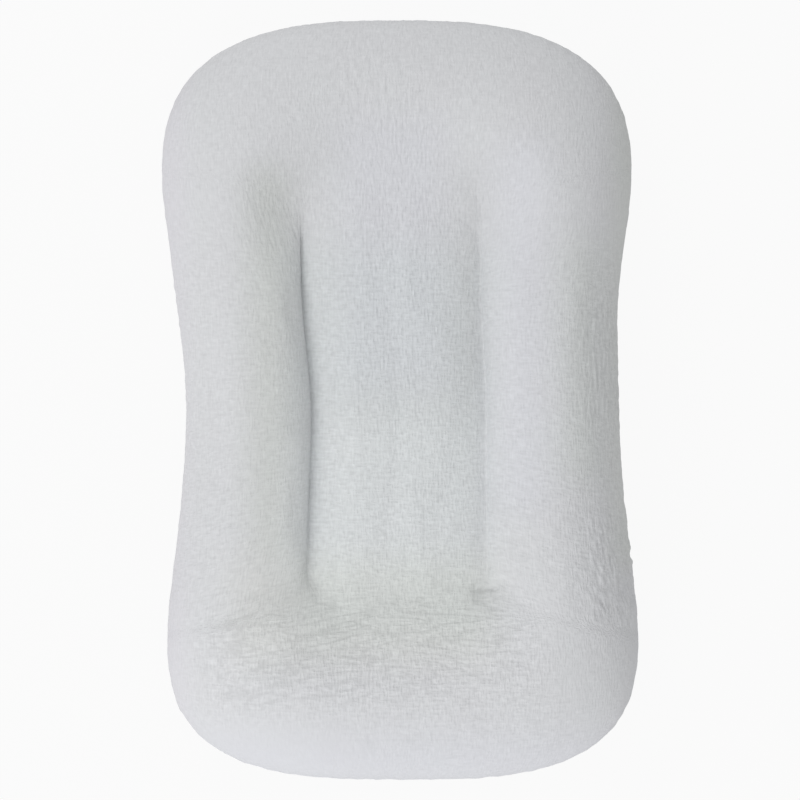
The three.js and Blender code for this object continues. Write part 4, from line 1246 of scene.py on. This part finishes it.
class LOUNGER_OT_cover_bottom(bpy.types.Operator):
    """Add the two halves of the muslin cover's underside"""

    bl_idname = "lounger.cover_bottom"
    bl_label = "Cover Bottom"

    def execute(self, context):
        form, look = context.scene.lounger_form, context.scene.lounger_muslin
        body = Body(form)
        first, last = right_half()
        half = last - first
        for side, start in (("right", first), ("left", last)):
            surface = underside_half(body, start, start + half)
            panel = cloth_body("cover_bottom_" + side, surface, COVER_THICKNESS, 2, under_relief(form, look))
            crinkled(panel, UNDER_CRINKLES)
            dressed(panel, "lounger", "muslin", muslin(), "cover_bottom_panel_" + side)
        return {"FINISHED"}


def seam_strip(body, depth):
    """The strip of tape that backs an edge seam, this deep in the body."""
    over = resampled(body.bolster()[:, :STRIP_ROWS], STRIP_SAMPLES)
    under = resampled(body.floor_band()[:, :STRIP_ROWS], STRIP_SAMPLES)
    rows = []
    for part, facing in ((under, -1), (over, 1)):
        inner = part - grid_normals(part, facing) * depth
        height = np.abs(inner[0, :, 2] - body.form.seam_height)
        last = int(np.searchsorted(height, BINDING_HALF_HEIGHT))
        chosen = np.linspace(1 if facing > 0 else 0, last, STRIP_STEPS).astype(int)
        rows.append(inner[:, chosen[::-1] if facing < 0 else chosen])
    rows = np.concatenate(rows, axis=1)
    run = run_along(rows[:, 0])
    flat = np.stack([rows[..., 2], np.broadcast_to(run[:, None], rows.shape[:2])], axis=-1)
    return band_surface(rows, flat, 1)


class LOUNGER_OT_bindings(bpy.types.Operator):
    """Add the tapes that back the cover's and the shell's edge seams"""

    bl_idname = "lounger.bindings"
    bl_label = "Seam Bindings"

    def execute(self, context):
        body = Body(context.scene.lounger_form)
        for name, depth, slot, material in (
            ("cover_seam_binding", BINDING_DEPTH, "cotton_tape", cotton_tape()),
            ("shell_seam_binding", SHELL_BINDING_DEPTH, "cotton_shell", cotton_shell()),
        ):
            strip = cloth_body(name + "_tape", seam_strip(body, depth), BINDING_THICKNESS, 1)
            dressed(strip, "lounger", slot, material, name)
        return {"FINISHED"}


class LOUNGER_OT_shell(bpy.types.Operator):
    """Add the cotton shell that holds the filling, with its two channels' tapes and stitching"""

    bl_idname = "lounger.shell"
    bl_label = "Shell"

    def execute(self, context):
        form = context.scene.lounger_form
        body = Body(form)
        top = top_surface(Body(form, SHELL_SLIT_DEPTH)).moved(SHELL_DEPTH)
        under = shell_under_surface(body)
        for side, surface in (("top", top), ("bottom", under)):
            panel = cloth_body("shell_" + side, surface, SHELL_THICKNESS)
            dressed(panel, "lounger", "cotton_shell", cotton_shell(), f"shell_{side}_panel")
        for side, sign in (("right", 1), ("left", -1)):
            self.channel(body, side, sign)
        return {"FINISHED"}

    def channel(self, body, side, sign):
        """The tape under one channel and the running stitch through it."""
        shares = np.linspace(0, 1, 4 * SIDE_STEPS)
        spine = body.spine_point(shares)
        y = spine[:, 1]
        inset = np.linspace(CHANNEL_TAPE_START, CHANNEL_TAPE_END, CHANNEL_TAPE_STEPS)
        x = spine[:, :1] + sign * (body.form.well_width / 2 - inset[None])
        plan = np.stack([x, np.broadcast_to(y[:, None], x.shape)], axis=-1)
        rows = body.sling_underside(plan)
        rows[..., 2] -= LAYER_GAP
        flat = np.stack([x, plan[..., 1]], axis=-1)
        surface = band_surface(rows, flat, sign, closed=False).moved(-BINDING_THICKNESS)
        tape = cloth_body(f"channel_tape_{side}_strip", surface, BINDING_THICKNESS)
        dressed(tape, "lounger", "cotton_tape", cotton_tape(), "channel_tape_" + side)
        line = rows[:, rows.shape[1] // 2] - [0, 0, BINDING_THICKNESS + LAYER_GAP + CHANNEL_THREAD_RADIUS]
        stitches = stitched("channel_stitches_" + side, line, CHANNEL_STITCH, CHANNEL_THREAD_RADIUS)
        dressed(stitches, "lounger", "thread", thread(), "channel_stitching_" + side)


def stitched(name, line, pitch, radius):
    """A row of stitches along a line of points, each a copy of one short thread."""
    deselect()
    bpy.ops.mesh.primitive_uv_sphere_add(segments=STITCH_SIDES, ring_count=STITCH_SIDES, radius=1)
    model = bpy.context.object
    places = vertex_places(model.data)
    faces = [list(face.vertices) for face in model.data.polygons]
    bpy.data.objects.remove(model)
    run = run_along(line)
    count = int(run[-1] / pitch)
    middles = (np.arange(count) + 0.5) * run[-1] / count
    reach = pitch * STITCH_SHARE / 2
    points, all_faces = [], []
    for middle in middles:
        start, end = (np.array([np.interp(middle + shift, run, line[:, axis]) for axis in range(3)])
                      for shift in (-reach, reach))
        along = (end - start) / 2
        across = unit(np.cross(along, [0, 0, 1]))
        up = unit(np.cross(across, along))
        thick = np.sign(places[:, 2:]) * np.abs(places[:, 2:]) ** STITCH_ROUNDING
        shape = thick * along + (places[:, :1] * across + places[:, 1:2] * up) * radius
        all_faces += [[corner + len(points) * len(places) for corner in face] for face in faces]
        points.append((start + end) / 2 + shape)
    return mesh_object(name, np.concatenate(points), all_faces)


class LOUNGER_OT_filling(bpy.types.Operator):
    """Add the four lengths of bolster filling and the sling's pad"""

    bl_idname = "lounger.filling"
    bl_label = "Filling"

    def execute(self, context):
        look = context.scene.lounger_muslin
        body = Body(context.scene.lounger_form)
        upper, lower = body.bolster(), body.shell_underside()
        upper = upper - grid_normals(upper, 1) * FILL_DEPTH
        lower = lower - grid_normals(lower, -1) * (FILL_DEPTH - SHELL_DEPTH)
        upper, lower = resampled(upper, FILLING_RINGS), resampled(lower, FILLING_RINGS)
        lengths = (("right", 0, SIDE_STEPS), ("head", SIDE_STEPS, CAP_STEPS),
                   ("left", SIDE_STEPS + CAP_STEPS, SIDE_STEPS),
                   ("foot", 2 * SIDE_STEPS + CAP_STEPS, CAP_STEPS))
        for number, (name, start, length) in enumerate(lengths):
            chosen = np.arange(start, start + length + 1) % len(upper)
            seed, node = look.seed + number, "bolster_fill_" + name
            self.stuffing("filling_" + name, upper[chosen], lower[chosen], seed, node)
        rim = body.patch(mix(body.crease, body.spine, SLING_PAD_MARGIN_SHARE))
        pad_top, pad_under = body.sling_surface(rim), body.sling_underside(rim)
        pad_top[..., 2] -= SHELL_INNER_DEPTH + LAYER_GAP
        pad_under[..., 2] += SHELL_THICKNESS + LAYER_GAP
        self.stuffing("sling_padding", pad_top, pad_under, look.seed, "sling_pad", facing=-1)
        return {"FINISHED"}

    def stuffing(self, name, outer, inner, seed, node, facing=1):
        """A body of loose filling between two grids of points, with tufts all over."""
        surface = band_surface(outer, outer[..., :2], facing, closed=False)
        tufts = sampled(wrinkles(seed + TUFT_SEED, TUFT_PITCH, TUFT_PITCH), surface.flat)
        tufts = TUFT_REST + TUFT_SWELL * np.clip(tufts, -TUFT_LIMIT, TUFT_LIMIT)
        surface = surface.moved(TUFT_DEPTH * tufts)
        count = len(surface.points)
        faces = surface.faces.tolist() + (surface.faces[:, ::-1] + count).tolist()
        faces += [[end, start, start + count, end + count] for start, end in boundary(surface.faces).tolist()]
        piece = mesh_object(name, np.concatenate([surface.points, inner.reshape(-1, 3)]), faces)
        edited(piece, (bpy.ops.mesh.remove_doubles, {"threshold": MERGE_DISTANCE}))
        finished(piece, "SUBSURF", levels=1, render_levels=1)
        dressed(piece, "lounger", "fibre_fill", fibre_fill(), node)


class LOUNGER_OT_label(bpy.types.Operator):
    """Add the blank satin label beside the zip, with the stitches that hold it"""

    bl_idname = "lounger.label"
    bl_label = "Label"

    def execute(self, context):
        middle = (LABEL_LOW + LABEL_HIGH) / 2
        size = LABEL_HIGH - LABEL_LOW
        label, places = level_grid("label_ribbon", LABEL_LOW, LABEL_HIGH, LABEL_GRID)
        across = (places[:, 0] - middle.x) / size.x
        along = (places[:, 1] - middle.y) / size.y
        wave = (1 - np.cos(2 * math.pi * (along + LABEL_LEAN * across))) / 2
        curl = wave * (along + 0.5) + LABEL_CORNER_LIFT * np.abs(across) ** 3
        places[:, 2] = LABEL_HIGH.z - size.z - LABEL_CURL * curl
        label.data.vertices.foreach_set("co", places.ravel())
        finished(label, "SOLIDIFY", thickness=size.z, offset=1)
        finished(label, "BEVEL", width=size.z / 3, segments=2, limit_method="ANGLE")
        label.data.shade_smooth()
        dressed(label, "lounger", "satin_label", satin_label(), "care_label")
        x, y = (LABEL_LOW.x + LABEL_STITCH, LABEL_HIGH.x - LABEL_STITCH), LABEL_LOW.y + LABEL_STITCH
        line = np.linspace((x[0], y), (x[1], y), LABEL_STITCH_POINTS)
        line = lifted(line, LABEL_LOW.z - THREAD_RADIUS)
        row = stitched("label_stitches", line, LABEL_STITCH, THREAD_RADIUS)
        dressed(row, "lounger", "thread", thread())
        return {"FINISHED"}


class LOUNGER_OT_topstitching(bpy.types.Operator):
    """Add the stitching that holds the muslin's folded edge to the zip"""

    bl_idname = "lounger.topstitching"
    bl_label = "Topstitching"

    def execute(self, context):
        reach = OPENING_HALF_WIDTH + TOPSTITCH_PLACE
        angle = np.linspace(0, math.pi, TOPSTITCH_END_POINTS)
        end = np.stack([np.cos(angle), np.sin(angle)], axis=-1) * reach
        half = [0, OPENING_HALF_LENGTH]
        loop = np.concatenate([end + half, -end - half, end[:1] + half])
        line = lifted(loop, PLATEAU_HEIGHT + TOPSTITCH_GROOVE - 2 * THREAD_RADIUS)
        row = stitched("zip_topstitching", line, TOPSTITCH, THREAD_RADIUS)
        dressed(row, "lounger", "thread", thread())
        return {"FINISHED"}


def zip_middle():
    """The height of the zip's chain, and half its length."""
    return (TEETH_LOW.z + TEETH_HIGH.z) / 2, (TEETH_HIGH.y - TEETH_LOW.y) / 2


class LOUNGER_OT_zip_tapes(bpy.types.Operator):
    """Add the zip's two woven tapes"""

    bl_idname = "lounger.zip_tapes"
    bl_label = "Zip Tapes"

    def execute(self, context):
        for side in ("right", "left"):
            low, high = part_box("zipper_tape_" + side)
            tape, places = level_grid("zip_tape_" + side, low, high, TAPE_GRID)
            edge, outer = (low.x, high.x) if side == "right" else (high.x, low.x)
            start = STOP_HIGH.y + SEWN_GAP
            away = np.abs(places[:, 1])
            last, first = away[away <= start].max(), away[away > start].min()
            away = np.interp(away, (0, last, first, high.y), (0, start, start + TAPE_STEP, high.y))
            places[:, 1] = np.copysign(away, places[:, 1])
            bead = math.copysign(BEAD_OUTER + SEWN_GAP, outer)
            inner = np.where(away > start + TAPE_STEP / 2, edge, bead)
            places[:, 0] = mix(inner, outer, (places[:, 0] - edge) / (outer - edge))
            rib = np.cos(2 * math.pi * (places[:, 0] - low.x) / ZIP_TAPE_RIB)
            places[:, 2] = (low.z + high.z) / 2 - ZIP_TAPE_RIB_HEIGHT * rib
            tape.data.vertices.foreach_set("co", places.ravel())
            finished(tape, "SOLIDIFY", thickness=high.z - low.z - 2 * ZIP_TAPE_RIB_HEIGHT, offset=0)
            tape.data.uv_layers[0].name = "cloth"
            spread_cloth(tape.data, vertex_places(tape.data)[:, :2])
            tape.data.shade_smooth()
            dressed(tape, "lounger", "cotton_tape", cotton_tape(), "zipper_tape_" + side)
        return {"FINISHED"}


class LOUNGER_OT_zip_teeth(bpy.types.Operator):
    """Add the zip's two rows of moulded teeth, each on its bead"""

    bl_idname = "lounger.zip_teeth"
    bl_label = "Zip Teeth"

    def execute(self, context):
        height, half = zip_middle()
        for side, sign in (("right", 1), ("left", -1)):
            tooth = self.tooth(sign, height, half)
            count = round(2 * half / TOOTH_PITCH)
            finished(tooth, "ARRAY", count=count, use_relative_offset=False, use_constant_offset=True,
                     constant_offset_displace=(0, TOOTH_PITCH, 0))
            deselect()
            bpy.ops.mesh.primitive_cylinder_add(
                vertices=BEAD_SIDES, radius=0.5, depth=1, rotation=(math.pi / 2, 0, 0))
            bead = context.object
            bpy.ops.object.transform_apply()
            bead.scale = (BEAD_OUTER - BEAD_INNER, 2 * half, CHAIN_THICKNESS * BEAD_SHARE)
            bead.location = (sign * (BEAD_INNER + BEAD_OUTER) / 2, 0, height)
            bpy.ops.object.transform_apply()
            finished(bead, "BEVEL", width=TOOTH_BEVEL, segments=2, limit_method="ANGLE")
            tooth.select_set(True)
            bead.select_set(True)
            bpy.context.view_layer.objects.active = tooth
            bpy.ops.object.join()
            tooth.name = "zip_teeth_" + side
            bpy.ops.object.shade_smooth_by_angle(angle=SMOOTH_ANGLE)
            dressed(tooth, "lounger", "zipper_nylon", zipper_nylon(), "zipper_teeth_" + side)
        return {"FINISHED"}

    def tooth(self, sign, height, half):
        """One tooth: a block on the bead that narrows to a neck and ends in a rounded head."""
        root, tip = sign * (BEAD_INNER + BEAD_OUTER) / 2, -sign * TOOTH_REACH
        shift = sign * TOOTH_PITCH / 4
        deselect()
        bpy.ops.mesh.primitive_cube_add(size=1, location=((root + tip) / 2, 0, 0))
        tooth = bpy.context.object
        tooth.scale = (abs(root - tip), TOOTH_WIDTH, CHAIN_THICKNESS)
        bpy.ops.object.transform_apply()
        edited(tooth, (bpy.ops.mesh.subdivide, {"number_cuts": len(TOOTH_NECK_SHARES) - 2}))
        places = vertex_places(tooth.data)
        share = (places[:, 0] - root) / (tip - root)
        for axis, shares in ((1, TOOTH_NECK_SHARES), (2, TOOTH_THICKNESS_SHARES)):
            places[:, axis] *= np.interp(share, np.linspace(0, 1, len(shares)), shares)
        places += [0, TOOTH_PITCH / 2 + shift - half, height]
        tooth.data.vertices.foreach_set("co", places.ravel())
        return finished(tooth, "BEVEL", width=TOOTH_BEVEL, segments=2, limit_method="ANGLE")


class LOUNGER_OT_zip_metal(bpy.types.Operator):
    """Add the zip's slider, pull tab and stops, with their edges rounded"""

    bl_idname = "lounger.zip_metal"
    bl_label = "Slider and Stops"

    def execute(self, context):
        pieces = (
            ("zipper_slider", "slider", "slider_enamel", slider_enamel(), 0.00028),
            ("zipper_pull_tab", "pull_tab", "slider_enamel", slider_enamel(), 0.00035),
            ("zipper_top_stop_right", "lounger", "zipper_nylon", zipper_nylon(), 0.00035),
            ("zipper_top_stop_left", "lounger", "zipper_nylon", zipper_nylon(), 0.00035),
            ("zipper_bottom_stop", "lounger", "zipper_nylon", zipper_nylon(), 0.00045),
        )
        for node, body, slot, material, width in pieces:
            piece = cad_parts[node].copy()
            piece.data = piece.data.copy()
            piece.name = node.replace("zipper", "zip")
            context.scene.collection.objects.link(piece)
            edited(piece, (bpy.ops.mesh.remove_doubles, {"threshold": MERGE_DISTANCE}),
                   (bpy.ops.mesh.dissolve_limited, {"angle_limit": FLAT_ANGLE}))
            finished(piece, "BEVEL", width=width, segments=3, limit_method="ANGLE", angle_limit=CREASE_ANGLE)
            bpy.ops.object.shade_smooth_by_angle(angle=SMOOTH_ANGLE)
            dressed(piece, body, slot, material, node)
        return {"FINISHED"}


class LOUNGER_OT_stage(bpy.types.Operator):
    """Add the floor, the lamps and the camera"""

    bl_idname = "lounger.stage"
    bl_label = "Stage"

    def execute(self, context):
        scene, look = context.scene, context.scene.lounger_stage
        deselect()
        bpy.ops.mesh.primitive_plane_add(size=FLOOR_SIZE, location=(0, 0, -FLOOR_GAP))
        floor = context.object
        floor.name = "floor"
        floor.data.materials.append(self.floor_paint())
        floor.visible_diffuse = floor.visible_shadow = False  # the world's lower half stands for its light
        paint = Paint("studio", "worlds")
        way = paint.node("ShaderNodeTexCoord", output="Generated")
        up = way.math("GREATER_THAN", paint.axis(way, 2), 0.0)
        strength = mix(mix(FLOOR_LIGHT, look.sky, up), CAMERA_RAY_SHARE, paint.seen())
        sky = paint.node("ShaderNodeBackground", inputs={"Color": WHITE, "Strength": strength})
        scene.world = paint.shown(sky, "ShaderNodeOutputWorld")
        powers = look.foot_lamp, look.head_lamp, look.low_lamp, look.low_lamp
        for place, power in zip(LAMP_PLACES, powers):
            bpy.ops.object.light_add(type="AREA", location=place)
            lamp = context.object
            lamp.data.energy = power
            lamp.data.size = LAMP_SIZE
            lamp.rotation_euler = (-Vector(place)).to_track_quat("-Z", "Y").to_euler()
        camera_height = scene.lounger_form.seam_height + look.camera_height
        bpy.ops.object.camera_add(location=(0, 0, camera_height), rotation=(0, 0, 0))
        camera = context.object
        width = FRAME_PIXELS * look.metres_per_pixel
        camera.data.lens = camera.data.sensor_width * look.camera_height / width
        camera.data.clip_end = FLOOR_SIZE
        scene.camera = camera
        scene.view_settings.view_transform = "Standard"
        return {"FINISHED"}

    def floor_paint(self):
        """A pale floor that looks white, and that isn't there for a camera below it."""
        paint = Paint("floor")
        diffuse = paint.node("ShaderNodeBsdfDiffuse", inputs={"Color": FLOOR_COLOR})
        glow = paint.node("ShaderNodeEmission", inputs={"Color": WHITE, "Strength": 1.0})
        white = paint.seen() * CAMERA_RAY_SHARE
        both = paint.node("ShaderNodeMixShader", inputs={0: white, 1: diffuse, 2: glow})
        below = paint.node("ShaderNodeNewGeometry", output="Backfacing")
        clear = paint.node("ShaderNodeBsdfTransparent")
        return paint.shown(paint.node("ShaderNodeMixShader", inputs={0: below, 1: both, 2: clear}))


CLASSES = (
    LoungerForm, MuslinLook, StageLook, LOUNGER_OT_stage, LOUNGER_OT_cover_top, LOUNGER_OT_cover_bottom,
    LOUNGER_OT_bindings, LOUNGER_OT_shell, LOUNGER_OT_filling, LOUNGER_OT_label, LOUNGER_OT_topstitching,
    LOUNGER_OT_zip_tapes, LOUNGER_OT_zip_teeth, LOUNGER_OT_zip_metal,
)
STEPS = ("stage", "cover_top", "cover_bottom", "bindings", "shell", "filling", "label", "topstitching",
         "zip_tapes", "zip_teeth", "zip_metal")


class LOUNGER_PT_panel(bpy.types.Panel):
    """The lounger's sizes and looks, and a button for each group of pieces"""

    bl_idname = "LOUNGER_PT_panel"
    bl_label = "Lounger"
    bl_space_type = "VIEW_3D"
    bl_region_type = "UI"
    bl_category = "Lounger"

    def draw(self, context):
        for group in (context.scene.lounger_form, context.scene.lounger_muslin, context.scene.lounger_stage):
            box = self.layout.box()
            for name in group.bl_rna.properties.keys():
                if name not in ("rna_type", "name"):
                    box.prop(group, name)
        for step in STEPS:
            self.layout.operator("lounger." + step)


def register():
    for cls in (*CLASSES, LOUNGER_PT_panel):
        bpy.utils.register_class(cls)
    bpy.types.Scene.lounger_form = PointerProperty(type=LoungerForm)
    bpy.types.Scene.lounger_muslin = PointerProperty(type=MuslinLook)
    bpy.types.Scene.lounger_stage = PointerProperty(type=StageLook)


def unregister():
    del bpy.types.Scene.lounger_form
    del bpy.types.Scene.lounger_muslin
    del bpy.types.Scene.lounger_stage
    for cls in reversed((*CLASSES, LOUNGER_PT_panel)):
        bpy.utils.unregister_class(cls)


def main():
    register()
    for step in STEPS:
        getattr(bpy.ops.lounger, step)()


if __name__ == "__main__":
    main()
